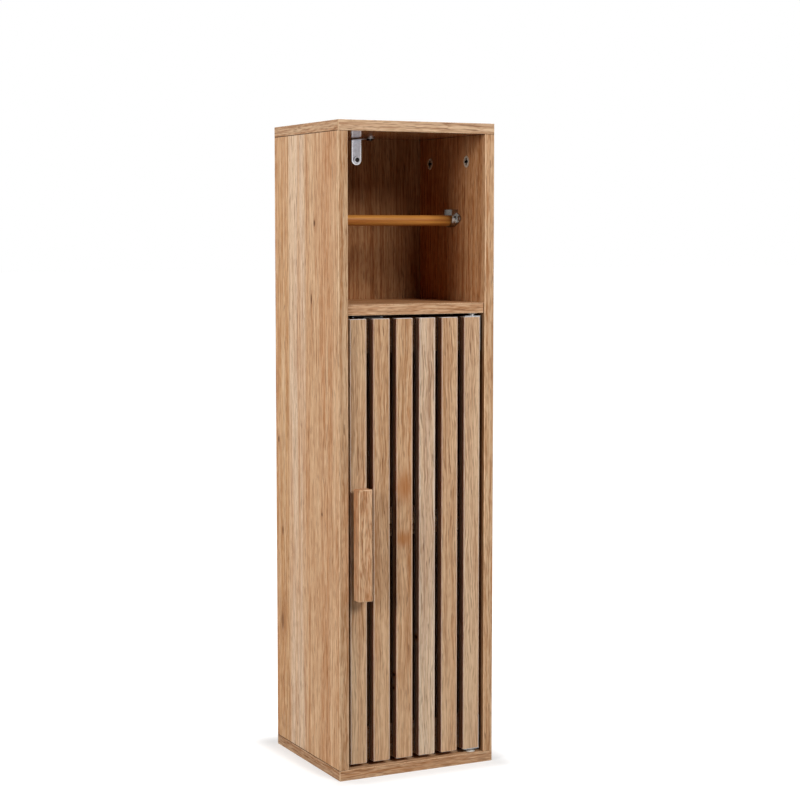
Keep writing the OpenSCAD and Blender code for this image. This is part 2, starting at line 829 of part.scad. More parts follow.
module catch_housing() {
    body_w = catch_w - 2 * catch_ear_w;
    magnet_z = fixed_shelf_z - (catch_h + catch_ear_t) / 2;
    color(dark_plastic) difference() {
        union() {
            block([catch_x - catch_w / 2, catch_front_y, fixed_shelf_z - catch_ear_t],
                  [catch_x + catch_w / 2, catch_front_y + catch_d, fixed_shelf_z]);
            block([catch_x - body_w / 2, catch_front_y, fixed_shelf_z - catch_h],
                  [catch_x + body_w / 2, catch_front_y + catch_d, fixed_shelf_z]);
        }
        block([catch_x - magnet_w / 2, catch_front_y - overcut, magnet_z - magnet_h / 2],
              [catch_x + magnet_w / 2, catch_front_y + magnet_d, magnet_z + magnet_h / 2]);
        at_catch_screws() screw_hole(catch_screw, catch_ear_t + overcut);
    }
}

// The magnet with its two pole plates, which stand a hair out in front of it
module catch_magnet() {
    magnet_z = fixed_shelf_z - (catch_h + catch_ear_t) / 2;
    pole_lead = 0.4;
    color(magnet_grey) {
        block([catch_x - magnet_w / 2, catch_front_y + pole_lead, magnet_z - magnet_h / 2 + pole_t],
              [catch_x + magnet_w / 2, catch_front_y + magnet_d, magnet_z + magnet_h / 2 - pole_t]);
        for (low_z = [magnet_z - magnet_h / 2, magnet_z + magnet_h / 2 - pole_t])
            block([catch_x - magnet_w / 2, catch_front_y, low_z],
                  [catch_x + magnet_w / 2, catch_front_y + magnet_d, low_z + pole_t]);
    }
}

module catch_screws() {
    color(steel) at_catch_screws() pan_screw(catch_screw, catch_ear_t + small_screw_bite);
}

// Places of the strike plate's screws: z = 0 is the plate's face, z points back
module strike_screw_places() {
    for (way = [-1, 1])
        translate([catch_x + way * strike_screw_spread / 2, door_back_y + strike_t,
                   door_high_z - strike_screw_drop]) rotate([-90, 0, 0]) children();
}

// The strike plate hooks over the top rail and lies on its back
module strike_plate() {
    hook_y = door_back_y - rail_t + rail_end_inset;
    color(steel) difference() {
        union() {
            block([catch_x - strike_w / 2, door_back_y, door_high_z - strike_drop],
                  [catch_x + strike_w / 2, door_back_y + strike_t, door_high_z + strike_t]);
            block([catch_x - strike_w / 2, hook_y, door_high_z],
                  [catch_x + strike_w / 2, door_back_y + strike_t, door_high_z + strike_t]);
        }
        strike_screw_places() screw_hole(strike_screw, strike_t + overcut);
    }
}

module strike_plate_screws() {
    color(steel) strike_screw_places() pan_screw(strike_screw, strike_t + strike_screw_l);
}

// ---------------------------------------------------------------- nodes

top_board();
bottom_board();
side_panel(1);  // left_side_panel
side_panel(0);  // right_side_panel
back_panel();
fixed_shelf();
inner_shelf();
shelf_pins();
cam_locks();
cam_bolts();
joint_dowels();
wall_bracket();
wall_bracket_screws();
roll_socket(1);  // left_roll_socket
roll_socket(0);  // right_roll_socket
roll_socket_screws();
roll_bar();
door_slat(1);  // door_slat_1
door_slat(2);  // door_slat_2
door_slat(3);  // door_slat_3
door_slat(4);  // door_slat_4
door_slat(5);  // door_slat_5
door_slat(6);  // door_slat_6
door_rail(door_high_z - rail_h);  // door_top_rail
door_rail(door_low_z);  // door_bottom_rail
rail_screws();
handle_bar();
handle_spacers();
handle_screws();
top_pivot_plate();
bottom_pivot_plate();
pivot_plate_screws();
top_pivot_bush();
bottom_pivot_bush();
catch_housing();
catch_magnet();
catch_screws();
strike_plate();
strike_plate_screws();
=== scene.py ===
from math import cos, pi, radians, sin

import bmesh
import bpy
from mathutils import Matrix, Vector


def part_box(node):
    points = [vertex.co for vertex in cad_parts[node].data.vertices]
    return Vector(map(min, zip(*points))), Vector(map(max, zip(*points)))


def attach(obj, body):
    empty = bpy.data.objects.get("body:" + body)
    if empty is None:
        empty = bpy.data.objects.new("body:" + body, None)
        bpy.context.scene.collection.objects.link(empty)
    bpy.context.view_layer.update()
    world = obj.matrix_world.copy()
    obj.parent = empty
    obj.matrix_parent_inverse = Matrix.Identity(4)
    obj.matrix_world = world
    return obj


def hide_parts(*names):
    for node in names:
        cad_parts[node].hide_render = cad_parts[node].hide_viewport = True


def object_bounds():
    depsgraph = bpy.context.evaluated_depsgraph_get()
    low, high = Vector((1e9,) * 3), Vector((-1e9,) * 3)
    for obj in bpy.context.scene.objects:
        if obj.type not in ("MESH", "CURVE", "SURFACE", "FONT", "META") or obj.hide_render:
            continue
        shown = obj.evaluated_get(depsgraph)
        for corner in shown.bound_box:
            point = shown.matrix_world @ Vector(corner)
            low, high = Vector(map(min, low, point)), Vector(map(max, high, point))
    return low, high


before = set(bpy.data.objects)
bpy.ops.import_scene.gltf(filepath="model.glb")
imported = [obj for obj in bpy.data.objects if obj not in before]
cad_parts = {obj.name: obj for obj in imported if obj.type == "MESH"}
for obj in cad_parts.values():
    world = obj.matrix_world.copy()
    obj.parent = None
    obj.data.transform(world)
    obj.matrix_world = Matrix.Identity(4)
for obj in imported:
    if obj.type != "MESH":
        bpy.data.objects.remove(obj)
cad_box = [list(corner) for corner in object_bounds()]

MM = 0.001


# ---------------------------------------------------------------- colours

def tint(red, green, blue):
    """A colour as a paint card gives it, 0 to 255, turned into light values."""
    def light(level):
        level /= 255
        return level / 12.92 if level <= 0.04045 else ((level + 0.055) / 1.055) ** 2.4
    return (light(red), light(green), light(blue), 1.0)


def darker(colour, share):
    """A colour that keeps only a share of its light."""
    return tuple(part * share for part in colour[:3]) + (1.0,)


WHITE = (1.0, 1.0, 1.0, 1.0)
OAK_TAN = tint(207, 164, 124)
OAK_PALE = tint(228, 196, 160)
OAK_WARM = tint(194, 140, 96)
OAK_RUST = tint(176, 112, 64)
OAK_DEEP = tint(146, 95, 56)
OAK_PORE = tint(98, 60, 36)
OAK_KNOT = tint(72, 40, 22)
# A pale painted highlight for arrises, where rounded edges catch the light
OAK_ARRIS_HIGHLIGHT = tint(242, 205, 166)
OAK_GREY = tint(226, 199, 172)
OAK_GOLD = tint(200, 152, 104)
# A warmer, darker oak for the sides inside the bay, as painted shade
BAY_SIDE_SHADE_OAK = tint(196, 146, 100)
FRONT_OAK = tint(212, 178, 147)
FOOT_FRONT_OAK = tint(205, 159, 121)
TOP_END_OAK = tint(202, 149, 106)
FOOT_END_OAK = tint(207, 163, 128)
HANDLE_OAK = tint(199, 148, 108)
HANDLE_SIDE_OAK = tint(202, 138, 92)
# From the handle's side to the pivots
SLAT_TONES = [tint(199, 164, 129), tint(200, 158, 119), tint(202, 158, 118),
              tint(224, 206, 184), tint(202, 161, 124), tint(216, 183, 150)]
SLAT_FLAME = tint(172, 112, 66)
# Painted shade for the slats' flanks in the gaps; the black also darkens the knots' eyes
PAINTED_GAP_SHADE = tint(100, 50, 28)
GAP_SHADE_AND_KNOT_BLACK = tint(26, 8, 3)
BAMBOO_GOLD = tint(206, 142, 66)
BAMBOO_BROWN = tint(158, 92, 36)
BAMBOO_TICK = tint(96, 54, 20)
BEECH = tint(222, 190, 148)
CHROME = tint(172, 168, 164)
ZINC_PLATE = tint(196, 198, 202)
# The pivot and strike plates are darker copies of the plated steel, as painted shade in the door's narrow
# gaps
PIVOT_PLATE = tint(166, 166, 168)
STRIKE_PLATE = tint(96, 92, 88)
BRACKET_FACE = tint(228, 232, 242)
# A pale painted highlight for the bracket's rounded edges
BRACKET_RIM_HIGHLIGHT = tint(238, 238, 240)
BRACKET_WEAR = tint(150, 150, 154)
# Painted shade for the bracket's front tip
BRACKET_TIP_SHADE = tint(132, 116, 102)
SCREW_HEAD = tint(206, 206, 210)
SCREW_DARK = tint(60, 58, 56)
# The cam locks' face is pale as a painted highlight, and their cut is dark as painted shade
LOCK_ZINC_HIGHLIGHT = tint(226, 214, 196)
LOCK_CUT_SHADE = tint(34, 30, 26)
NYLON = tint(228, 226, 218)
BROWN_PLASTIC = tint(74, 48, 34)
MAGNET = tint(92, 92, 96)


# ---------------------------------------------------------------- node trees

class Nodes:
    """A node tree, with short words for the steps that most trees need."""

    def __init__(self, tree):
        self.tree = tree

    def add(self, kind, inputs=None, **settings):
        """Adds a node. Each input is linked to another node's output, or set to a plain value."""
        node = self.tree.nodes.new(kind)
        for key, value in settings.items():
            setattr(node, key, value)
        for key, value in (inputs or {}).items():
            if isinstance(value, bpy.types.NodeSocket):
                self.tree.links.new(value, node.inputs[key])
            else:
                node.inputs[key].default_value = value
        return node

    def maths(self, operation, *values):
        return self.add("ShaderNodeMath", dict(enumerate(values)), operation=operation).outputs[0]

    def vector_maths(self, operation, *values):
        return self.add("ShaderNodeVectorMath", dict(enumerate(values)), operation=operation).outputs[0]

    def length(self, vector):
        return self.add("ShaderNodeVectorMath", {0: vector}, operation="LENGTH").outputs["Value"]

    def vector(self, x=0.0, y=0.0, z=0.0):
        return self.add("ShaderNodeCombineXYZ", {0: x, 1: y, 2: z}).outputs[0]

    def parts(self, vector):
        """The x, y and z of a vector."""
        return self.add("ShaderNodeSeparateXYZ", {0: vector}).outputs

    def ramp(self, value, low, high, at_low=0.0, at_high=1.0, soft=True):
        """Carries a value from the span low..high to at_low..at_high, held at both ends."""
        kind = "SMOOTHSTEP" if soft else "LINEAR"
        inputs = {0: value, 1: low, 2: high, 3: at_low, 4: at_high}
        return self.add("ShaderNodeMapRange", inputs, interpolation_type=kind).outputs[0]


class Finish(Nodes):
    """A material, with short words for the steps that every finish needs."""

    def __init__(self, name):
        self.material = bpy.data.materials.new(name)
        self.material.use_nodes = True
        super().__init__(self.material.node_tree)
        self.tree.nodes.clear()
        self.place = self.add("ShaderNodeTexCoord").outputs["Object"]

    def sum(self, total, *others):
        for value in others:
            total = self.maths("ADD", total, value)
        return total

    def times(self, a, b):
        return self.maths("MULTIPLY", a, b)

    def centred(self, noise):
        """A noise about nothing, instead of about a half."""
        return self.sum(noise, -0.5)

    def mapped(self, vector, scale, offset=(0, 0, 0)):
        inputs = {"Vector": vector, "Location": offset, "Scale": scale}
        return self.add("ShaderNodeMapping", inputs).outputs[0]

    def noise(self, vector, scale, detail=3.0, rough=0.5, offset=(0, 0, 0), bend=0.0):
        """A noise with scale marks for each unit of length, or with one scale for each axis."""
        scale = scale if isinstance(scale, tuple) else (scale,) * 3
        inputs = {"Vector": self.mapped(vector, scale, offset), "Scale": 1.0, "Detail": detail,
                  "Roughness": rough, "Distortion": bend}
        return self.add("ShaderNodeTexNoise", inputs).outputs["Fac"]

    def mix(self, share, a, b, way="MIX"):
        inputs = {0: share, 6: a, 7: b}
        return self.add("ShaderNodeMix", inputs, data_type="RGBA", blend_type=way).outputs[2]

    def stepped(self, value, stops, way):
        """Turns a value from 0 to 1 into colours, given as (place, colour) in order."""
        node = self.add("ShaderNodeValToRGB", {0: value})
        node.color_ramp.interpolation = way
        places = node.color_ramp.elements
        for number, (spot, colour) in enumerate(stops):
            if number < 2:  # a new ramp has two stops already
                places[number].position = spot
            else:
                places.new(spot)
            places[number].color = colour
        return node.outputs[0]

    def bump(self, height, depth, strength):
        inputs = {"Strength": strength, "Distance": depth, "Height": height}
        return self.add("ShaderNodeBump", inputs).outputs[0]

    def done(self, **sockets):
        names = {"colour": "Base Color", "rough": "Roughness", "normal": "Normal", "metal": "Metallic",
                 "coat": "Coat Weight", "coat_rough": "Coat Roughness", "gloss": "Specular IOR Level"}
        shader = self.add("ShaderNodeBsdfPrincipled", {names[key]: value for key, value in sockets.items()})
        self.add("ShaderNodeOutputMaterial", {"Surface": shader.outputs[0]})
        return self.material


# Most of a noise's values lie between these
NOISE_SPAN = (0.3, 0.7)


# ---------------------------------------------------------------- oak

# Which of x, y and z run across, across and along the grain
GRAIN_ORDER = {"x": (1, 2, 0), "y": (0, 2, 1), "z": (0, 1, 2)}

# What pushes the grain aside, in mm: a slow sway and a closer curl
SWAY = {"scale": (0.014, 0.014, 0.0048), "detail": 2.0, "offset": (3, 7, 1)}
CURL = {"scale": (0.045, 0.045, 0.020), "detail": 2.0, "offset": (6, 1, 5)}
SWAY_WIDTH = 9.0
RING_SWAY = 20.0

# The marks of oak, as noises drawn out along the grain: marks for each mm across, marks for each mm along,
# where in the noise they start, their detail and their bend
OAK_MARKS = {
    "slow": (0.045, 0.0018, (1, 4, 9), 3.0, 0.3),
    "streaks": (0.17, 0.0032, (5, 3, 2), 2.0, 0.0),
    "threads": (0.50, 0.0080, (2, 8, 4), 1.0, 0.0),
    "fibres": (1.20, 0.022, (9, 2, 7), 1.5, 0.0),
    "dashes": (0.55, 0.085, (4, 6, 1), 1.0, 0.3),
    "pores": (0.75, 0.050, (7, 1, 6), 1.5, 0.2),
}
MARK_ROUGHNESS = 0.45

# How the marks tint the wood: the values at which a tint starts and is full, its largest share, its colour
OAK_TINTS = (
    ("slow", 0.52, 0.34, 0.80, OAK_WARM), ("slow", 0.56, 0.70, 0.50, OAK_PALE),
    ("streaks", 0.52, 0.66, 0.50, OAK_PALE), ("streaks", 0.48, 0.32, 0.46, OAK_RUST),
    ("threads", 0.51, 0.62, 0.40, OAK_PALE), ("threads", 0.49, 0.36, 0.42, OAK_DEEP),
    ("dashes", 0.52, 0.64, 0.42, OAK_PALE), ("dashes", 0.48, 0.36, 0.52, OAK_DEEP),
    ("fibres", 0.51, 0.68, 0.40, OAK_PALE), ("fibres", 0.49, 0.32, 0.44, OAK_DEEP),
)
LATE_WOOD_SHARE = 0.13
PORE_SPAN = (0.62, 0.72)
PORES_IN_LATE_WOOD = 0.07
PORE_SHARE = 0.50

THREAD_RELIEF, FIBRE_RELIEF, PORE_RELIEF = 0.5, 0.4, -0.7
OAK_RELIEF = {"depth": 0.12 * MM, "strength": 0.5}
THREAD_DULL, PORE_DULL = 0.6, 0.4
OAK_ROUGHNESS = (0.2, 0.8, 0.50, 0.68)
OAK_GLOSS = 0.02

# The tones across a board wander by this many mm along the grain
BAND_WANDER = {"scale": (0.02, 0.02, 0.0032), "detail": 2.0, "offset": (8, 8, 3)}
BAND_SWING = 12.0

# A knot's eye and the shade round it, from where they start to where they are full, in half sizes of the knot
KNOT_EYE_SPAN = (1.1, 0.3)
KNOT_SHADE_SPAN = (3.0, 0.4)
KNOT_EYE_SHARE = 0.92
KNOT_SHADE_SHARE = 0.50
KNOT_RINGS = 26.0
KNOT_RING_TONES = (0.55, 1.0)


def grain_space(f, grain, shift):
    """The place in millimetres, turned so that its z runs along the grain."""
    metres = f.parts(f.place)
    turned = f.vector(*(metres[axis] for axis in GRAIN_ORDER[grain]))
    return f.mapped(turned, (1 / MM,) * 3, shift)


def drawn_out(f, wood, across, along, offset, detail, bend):
    """A noise drawn out along the grain, with its marks for each mm across and along."""
    return f.noise(wood, (across, across, along), detail, MARK_ROUGHNESS, offset, bend)


def add_grain(f, wood, ground, streak=1.0, figure=1.0, ring_step=5.0, slant=0.055, dash=1.0, waves=5.0):
    """Lays oak grain over a ground tone: slow patches, streaks, threads, fine fibres, short dashes, nested
    growth arches and dark pores. ring_step and waves are in mm, and streak, figure and dash are strengths.
    Gives back the colour, the relief and the roughness."""
    sway, curl = f.noise(wood, **SWAY), f.noise(wood, **CURL)
    wander = f.sum(f.times(f.centred(sway), SWAY_WIDTH), f.times(f.centred(curl), waves))
    wood = f.vector_maths("ADD", wood, f.vector(wander))
    marks = {name: drawn_out(f, wood, *row) for name, row in OAK_MARKS.items()}
    # growth rings, cut at a slant so that they show as nested arches
    across, deep, along = f.parts(wood)
    deep = f.sum(deep, f.times(along, slant), f.times(sway, RING_SWAY))
    ring = f.maths("SQRT", f.sum(f.times(across, across), f.times(deep, deep)))
    wave = f.maths("SINE", f.times(ring, 2 * pi / ring_step))
    late_wood = f.times(f.ramp(wave, 0.0, 1.0), figure)
    pores = f.ramp(f.sum(marks["pores"], f.times(late_wood, PORES_IN_LATE_WOOD)), *PORE_SPAN)
    strengths = {"slow": streak, "streaks": streak, "dashes": dash}
    colour = ground
    for name, start, full, share, tone in OAK_TINTS:
        share *= strengths.get(name, 1.0)
        colour = f.mix(f.ramp(marks[name], start, full, 0.0, share), colour, tone)
    colour = f.mix(f.times(late_wood, LATE_WOOD_SHARE), colour, OAK_DEEP)
    colour = f.mix(f.times(pores, PORE_SHARE), colour, OAK_PORE)
    relief = f.sum(f.times(marks["threads"], THREAD_RELIEF), f.times(marks["fibres"], FIBRE_RELIEF),
                   f.times(pores, PORE_RELIEF))
    dull = f.sum(f.times(marks["threads"], THREAD_DULL), f.times(pores, PORE_DULL))
    return colour, relief, f.ramp(dull, *OAK_ROUGHNESS)


def knot_fields(f, knots):
    """Marks for knots, given as (place in mm, half sizes in mm, depth of the eye). Gives back the eye and
    the shade round it."""
    eye = shade = 0.0
    for place, half_size, dark in knots:
        scale = [1 / (half * MM) for half in half_size]
        offset = [-middle / half for middle, half in zip(place, half_size)]
        away = f.length(f.mapped(f.place, scale, offset))
        eye = f.maths("MAXIMUM", eye, f.ramp(away, *KNOT_EYE_SPAN, 0.0, dark))
        shade = f.maths("MAXIMUM", shade, f.ramp(away, *KNOT_SHADE_SPAN))
    return eye, shade


def knot_rings(f, shade):
    """The growth rings that close round a knot."""
    return f.ramp(f.maths("SINE", f.times(shade, KNOT_RINGS)), -1.0, 1.0, *KNOT_RING_TONES)


def banded(f, wood, axis, stops):
    """Tones across a board along x, y or z, 0 to 2, given as (place in mm, colour)."""
    wander = f.centred(f.noise(wood, **BAND_WANDER))
    across = f.sum(f.times(f.parts(f.place)[axis], 1 / MM), f.times(wander, BAND_SWING))
    low, high = stops[0][0], stops[-1][0]
    spots = [((place - low) / (high - low), colour) for place, colour in stops]
    return f.stepped(f.ramp(across, low, high, soft=False), spots, "EASE")


def bay_shade(f, light, store, near, far):
    """The shade inside the cabinet: its tone goes from near at the front to far at the back. store is the
    share of light that is left in the closed store under the fixed shelf."""
    _, deep, up = f.parts(f.place)
    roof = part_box("fixed_shelf")[0].z
    level = f.ramp(up, roof - 2 * MM, roof + 2 * MM, light * store, light)
    depth = f.ramp(deep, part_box("right_side_panel")[0].y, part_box("back_panel")[0].y, soft=False)
    grey = f.vector(level, level, level)
    return f.mix(1.0, f.mix(depth, near + (1.0,), far + (1.0,)), grey, way="MULTIPLY")


def oak(name, grain, shift=(0, 0, 0), light=1.0, streak=0.8, figure=1.0, tone=OAK_TAN, bands=None, knots=(),
        dash=0.6, inner=None, gloss=OAK_GLOSS, matt=1.0):
    """Oak board, with its grain along x, y or z. shift is where in the log it is cut, in mm. light is the
    share of light painted into its colour, so below 1 it paints shade. bands gives its tones across, as
    banded takes them. inner gives the painted shade of a face inside the cabinet: its share of light in the
    store, and its tones at the front and at the back."""
    f = Finish(name)
    wood = grain_space(f, grain, shift)
    ground = banded(f, wood, *bands) if bands else tone
    colour, relief, rough = add_grain(f, wood, ground, streak, figure, dash=dash)
    if knots:
        eye, shade = knot_fields(f, knots)
        rings = f.times(shade, knot_rings(f, shade))
        colour = f.mix(f.times(rings, KNOT_SHADE_SHARE), colour, OAK_DEEP)
        colour = f.mix(f.times(eye, KNOT_EYE_SHARE), colour, OAK_KNOT)
    # painted shade: the light share, or the bay's painted shade inside the cabinet
    shade = bay_shade(f, light, *inner) if inner else (light, light, light, 1.0)
    colour = f.mix(1.0, colour, shade, way="MULTIPLY")
    return f.done(colour=colour, rough=f.times(rough, matt), normal=f.bump(relief, **OAK_RELIEF),
                  gloss=gloss)


# Each slat's stretch of the log lies this many mm from the last slat's
SLAT_JUMP = (47.0, 13.0, 391.0)
SLAT_GRAIN = {"streak": 0.50, "figure": 0.9, "ring_step": 3.4, "slant": 0.09, "dash": 0.45, "waves": 7.0}
SLAT_FLAME_SHARE = 0.80
# The slats are painted paler towards their foot, as painted light, from the first height to the second, in
# metres
SLAT_FOOT_LIGHT_SPAN = (0.26, 0.06)
SLAT_FOOT_LIGHT_SHARE = 0.20
# The pale painted highlight along a slat's arris, from where it starts to where it is full, in mm from its
# side or its front
RIGHT_ARRIS, LEFT_ARRIS, FRONT_ARRIS = (1.4, 0.6), (1.1, 0.5), (1.3, 0.5)
LEFT_ARRIS_HIGHLIGHT_SHARE = 0.15
ARRIS_HIGHLIGHT_SHARE = 0.45
# The flanks in the gaps, in mm from a slat's side, but not the row's two outermost sides
FLANK, PAST_OUTER_SIDE = (0.8, 0.3), (0.9, 1.6)
# The painted brown shade in the gaps, in mm from the slats' front: where it starts, and where most of it
# fades
GAP_SHADE_START, GAP_SHADE_FADE, GAP_SHADE_LEFT = (0.05, 0.6), (2, 7), 0.45
# The painted black shade behind the brown: where it starts in mm from the front, where it is full in mm from
# the back
DEEP_GAP_SHADE_START, DEEP_GAP_SHADE_FULL, DEEP_GAP_SHADE_SHARE = 7, 0.5, 0.70


def past_face(f, value, face, inwards, span, *levels):
    """A ramp whose span is in mm from a face. inwards is 1 or -1, the way into the wood along the axis."""
    start, full = (face + inwards * step * MM for step in span)
    return f.ramp(value, start, full, *levels)


def slat_oak(name, knots):
    """The slats' oak. Each slat has its own tone and its own stretch of the log. Their arrises carry a pale
    painted highlight, and their flanks in the gaps carry painted shade, brown at the front to nearly black at
    the back."""
    f = Finish(name)
    number = f.add("ShaderNodeAttribute", attribute_name="slat_number").outputs["Fac"]
    jump = f.vector(*(f.times(number, step) for step in SLAT_JUMP))
    wood = f.vector_maths("ADD", grain_space(f, "z", (0, 0, 0)), jump)
    count = len(SLAT_TONES)
    # each tone starts halfway between two slats' numbers
    spots = [((before + 0.5) / count, tone) for before, tone in enumerate(SLAT_TONES)]
    ground = f.stepped(f.times(number, 1 / count), spots, "CONSTANT")
    colour, relief, rough = add_grain(f, wood, ground, **SLAT_GRAIN)
    eye, shade = knot_fields(f, knots)
    colour = f.mix(f.times(shade, SLAT_FLAME_SHARE), colour, SLAT_FLAME)
    across, deep, up = f.parts(f.place)
    # painted light: paler towards the slats' foot
    colour = f.mix(f.ramp(up, *SLAT_FOOT_LIGHT_SPAN, 0.0, SLAT_FOOT_LIGHT_SHARE), colour, OAK_PALE)
    low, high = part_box("door_slat_1")
    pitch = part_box("door_slat_2")[0].x - low.x
    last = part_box("door_slat_%d" % count)[1]
    # the place across, moved to where it would be on the first slat
    on_slat = f.sum(across, f.times(f.sum(number, -1.0), -pitch))
    right = past_face(f, on_slat, high.x, -1, RIGHT_ARRIS)
    left = past_face(f, on_slat, low.x, 1, LEFT_ARRIS, 0.0, LEFT_ARRIS_HIGHLIGHT_SHARE)
    front = past_face(f, deep, low.y, 1, FRONT_ARRIS)
    arris = f.times(f.maths("MAXIMUM", right, left), front)
    colour = f.mix(f.times(arris, ARRIS_HIGHLIGHT_SHARE), colour, OAK_ARRIS_HIGHLIGHT)
    flank = f.maths("MAXIMUM", past_face(f, on_slat, high.x, -1, FLANK),
                    past_face(f, on_slat, low.x, 1, FLANK))
    within = f.times(past_face(f, across, low.x, 1, PAST_OUTER_SIDE),
                     past_face(f, across, last.x, -1, PAST_OUTER_SIDE))
    flank = f.times(flank, within)
    # painted shade on the flanks: brown near the front, black further back
    darkening = f.times(past_face(f, deep, low.y, 1, GAP_SHADE_START),
                    past_face(f, deep, low.y, 1, GAP_SHADE_FADE, 1.0, GAP_SHADE_LEFT))
    deep_gap_shade = f.ramp(deep, low.y + DEEP_GAP_SHADE_START * MM, high.y - DEEP_GAP_SHADE_FULL * MM, 0.0, DEEP_GAP_SHADE_SHARE)
    colour = f.mix(f.times(darkening, flank), colour, PAINTED_GAP_SHADE)
    colour = f.mix(f.times(deep_gap_shade, flank), colour, GAP_SHADE_AND_KNOT_BLACK)
    colour = f.mix(f.times(eye, KNOT_EYE_SHARE), colour, GAP_SHADE_AND_KNOT_BLACK)
    return f.done(colour=colour, rough=rough, normal=f.bump(relief, **OAK_RELIEF), gloss=OAK_GLOSS)


# ---------------------------------------------------------------- bamboo, metal and plastic

# The cane's marks for each metre, long along x and close across it
BAMBOO_STRANDS = {"scale": (9, 1500, 1500), "detail": 3.0, "rough": 0.6}
BAMBOO_SLOW = {"scale": (5, 240, 240), "detail": 2.0, "offset": (3, 1, 2)}
BAMBOO_TICKS = {"scale": (70, 2300, 2300), "detail": 2.0, "offset": (1, 5, 2)}
BAMBOO_SLOW_SPAN = (0.35, 0.68)
BAMBOO_STRAND_TONES = (0.55, 0.35, 0.0, 0.7)
BAMBOO_TICK_TONES = (0.62, 0.74, 0.0, 0.6)
BAMBOO_ROUGHNESS = (0.40, 0.54)
BAMBOO_RELIEF = {"depth": 0.06 * MM, "strength": 0.5}
BAMBOO_LACQUER = {"coat": 0.06, "coat_rough": 0.30, "gloss": 0.12}

METAL_STAINS = {"scale": 70, "detail": 2.0, "offset": (4, 4, 4)}
METAL_STAIN_TONES = (0.62, 0.36, 0.0, 0.8)
METAL_DARK = 0.72
METAL_RELIEF = {"depth": 0.03 * MM, "strength": 0.4}

BRACKET_MARKS = {"scale": 300, "detail": 4.0, "rough": 0.6}
BRACKET_WEAR_TONES = (0.35, 0.65, 0.0, 0.25)
BRACKET_ROUGHNESS = (0.34, 0.46)
BRACKET_RIM_ROUGHNESS = 0.35
BRACKET_RIM_WIDTH = 1.9 * MM
BRACKET_RELIEF = {"depth": 0.02 * MM, "strength": 0.4}
# The bracket's drop ends between these distances under its top
BRACKET_DROP_TOP = (3.5 * MM, 1.8 * MM)
BRACKET_TIP_LENGTH = 3 * MM
BRACKET_TIP_SHADE_SHARE = 0.6

SCREW_MARKS = {"scale": 500, "detail": 3.0}
SCREW_ROUGHNESS = (0.16, 0.28)
SCREW_RELIEF = {"depth": 0.02 * MM, "strength": 0.3}
SCREW_RECESS = 2.8 * MM
SCREW_RECESS_EDGE = 0.5 * MM
SCREW_RECESS_METAL = 0.3

PLASTIC_GRAIN = {"scale": 900, "detail": 3.0, "rough": 0.7}
PLASTIC_CLOUD = {"scale": 120, "detail": 2.0}
PLASTIC_CLOUD_TONES = (0.35, 0.65, 0.0, 0.5)
PLASTIC_DARK = 0.8
PLASTIC_MOTTLE = 0.07
PLASTIC_RELIEF = {"depth": 0.04 * MM, "strength": 0.5}


def bamboo(name):
    """Lacquered bamboo: close lengthwise strands over slow patches, and short dark ticks."""
    f = Finish(name)
    strands = f.noise(f.place, **BAMBOO_STRANDS)
    slow = f.noise(f.place, **BAMBOO_SLOW)
    ticks = f.noise(f.place, **BAMBOO_TICKS)
    colour = f.mix(f.ramp(slow, *BAMBOO_SLOW_SPAN), BAMBOO_GOLD, BAMBOO_BROWN)
    colour = f.mix(f.ramp(strands, *BAMBOO_STRAND_TONES), colour, BAMBOO_BROWN)
    colour = f.mix(f.ramp(ticks, *BAMBOO_TICK_TONES), colour, BAMBOO_TICK)
    return f.done(colour=colour, rough=f.ramp(strands, *NOISE_SPAN, *BAMBOO_ROUGHNESS),
                  normal=f.bump(strands, **BAMBOO_RELIEF), **BAMBOO_LACQUER)


def metal(name, colour, rough, mottle=0.06, brushed=260, metallic_share=1.0):
    """Plated or cast metal: its shine and tone vary over brushing marks and faint stains. brushed is marks
    for each metre, and the metallic share is the share that shades as metal, the rest as a plain colour."""
    f = Finish(name)
    marks = f.noise(f.place, brushed, detail=4.0, rough=0.6)
    darkening = f.noise(f.place, **METAL_STAINS)
    cover = f.ramp(f.sum(f.times(marks, 0.5), f.times(darkening, 0.5)), *METAL_STAIN_TONES)
    shade = f.mix(cover, colour, darker(colour, METAL_DARK))
    shine = f.ramp(marks, *NOISE_SPAN, rough - mottle, rough + mottle)
    return f.done(colour=shade, metal=metallic_share, rough=shine, normal=f.bump(marks, **METAL_RELIEF))


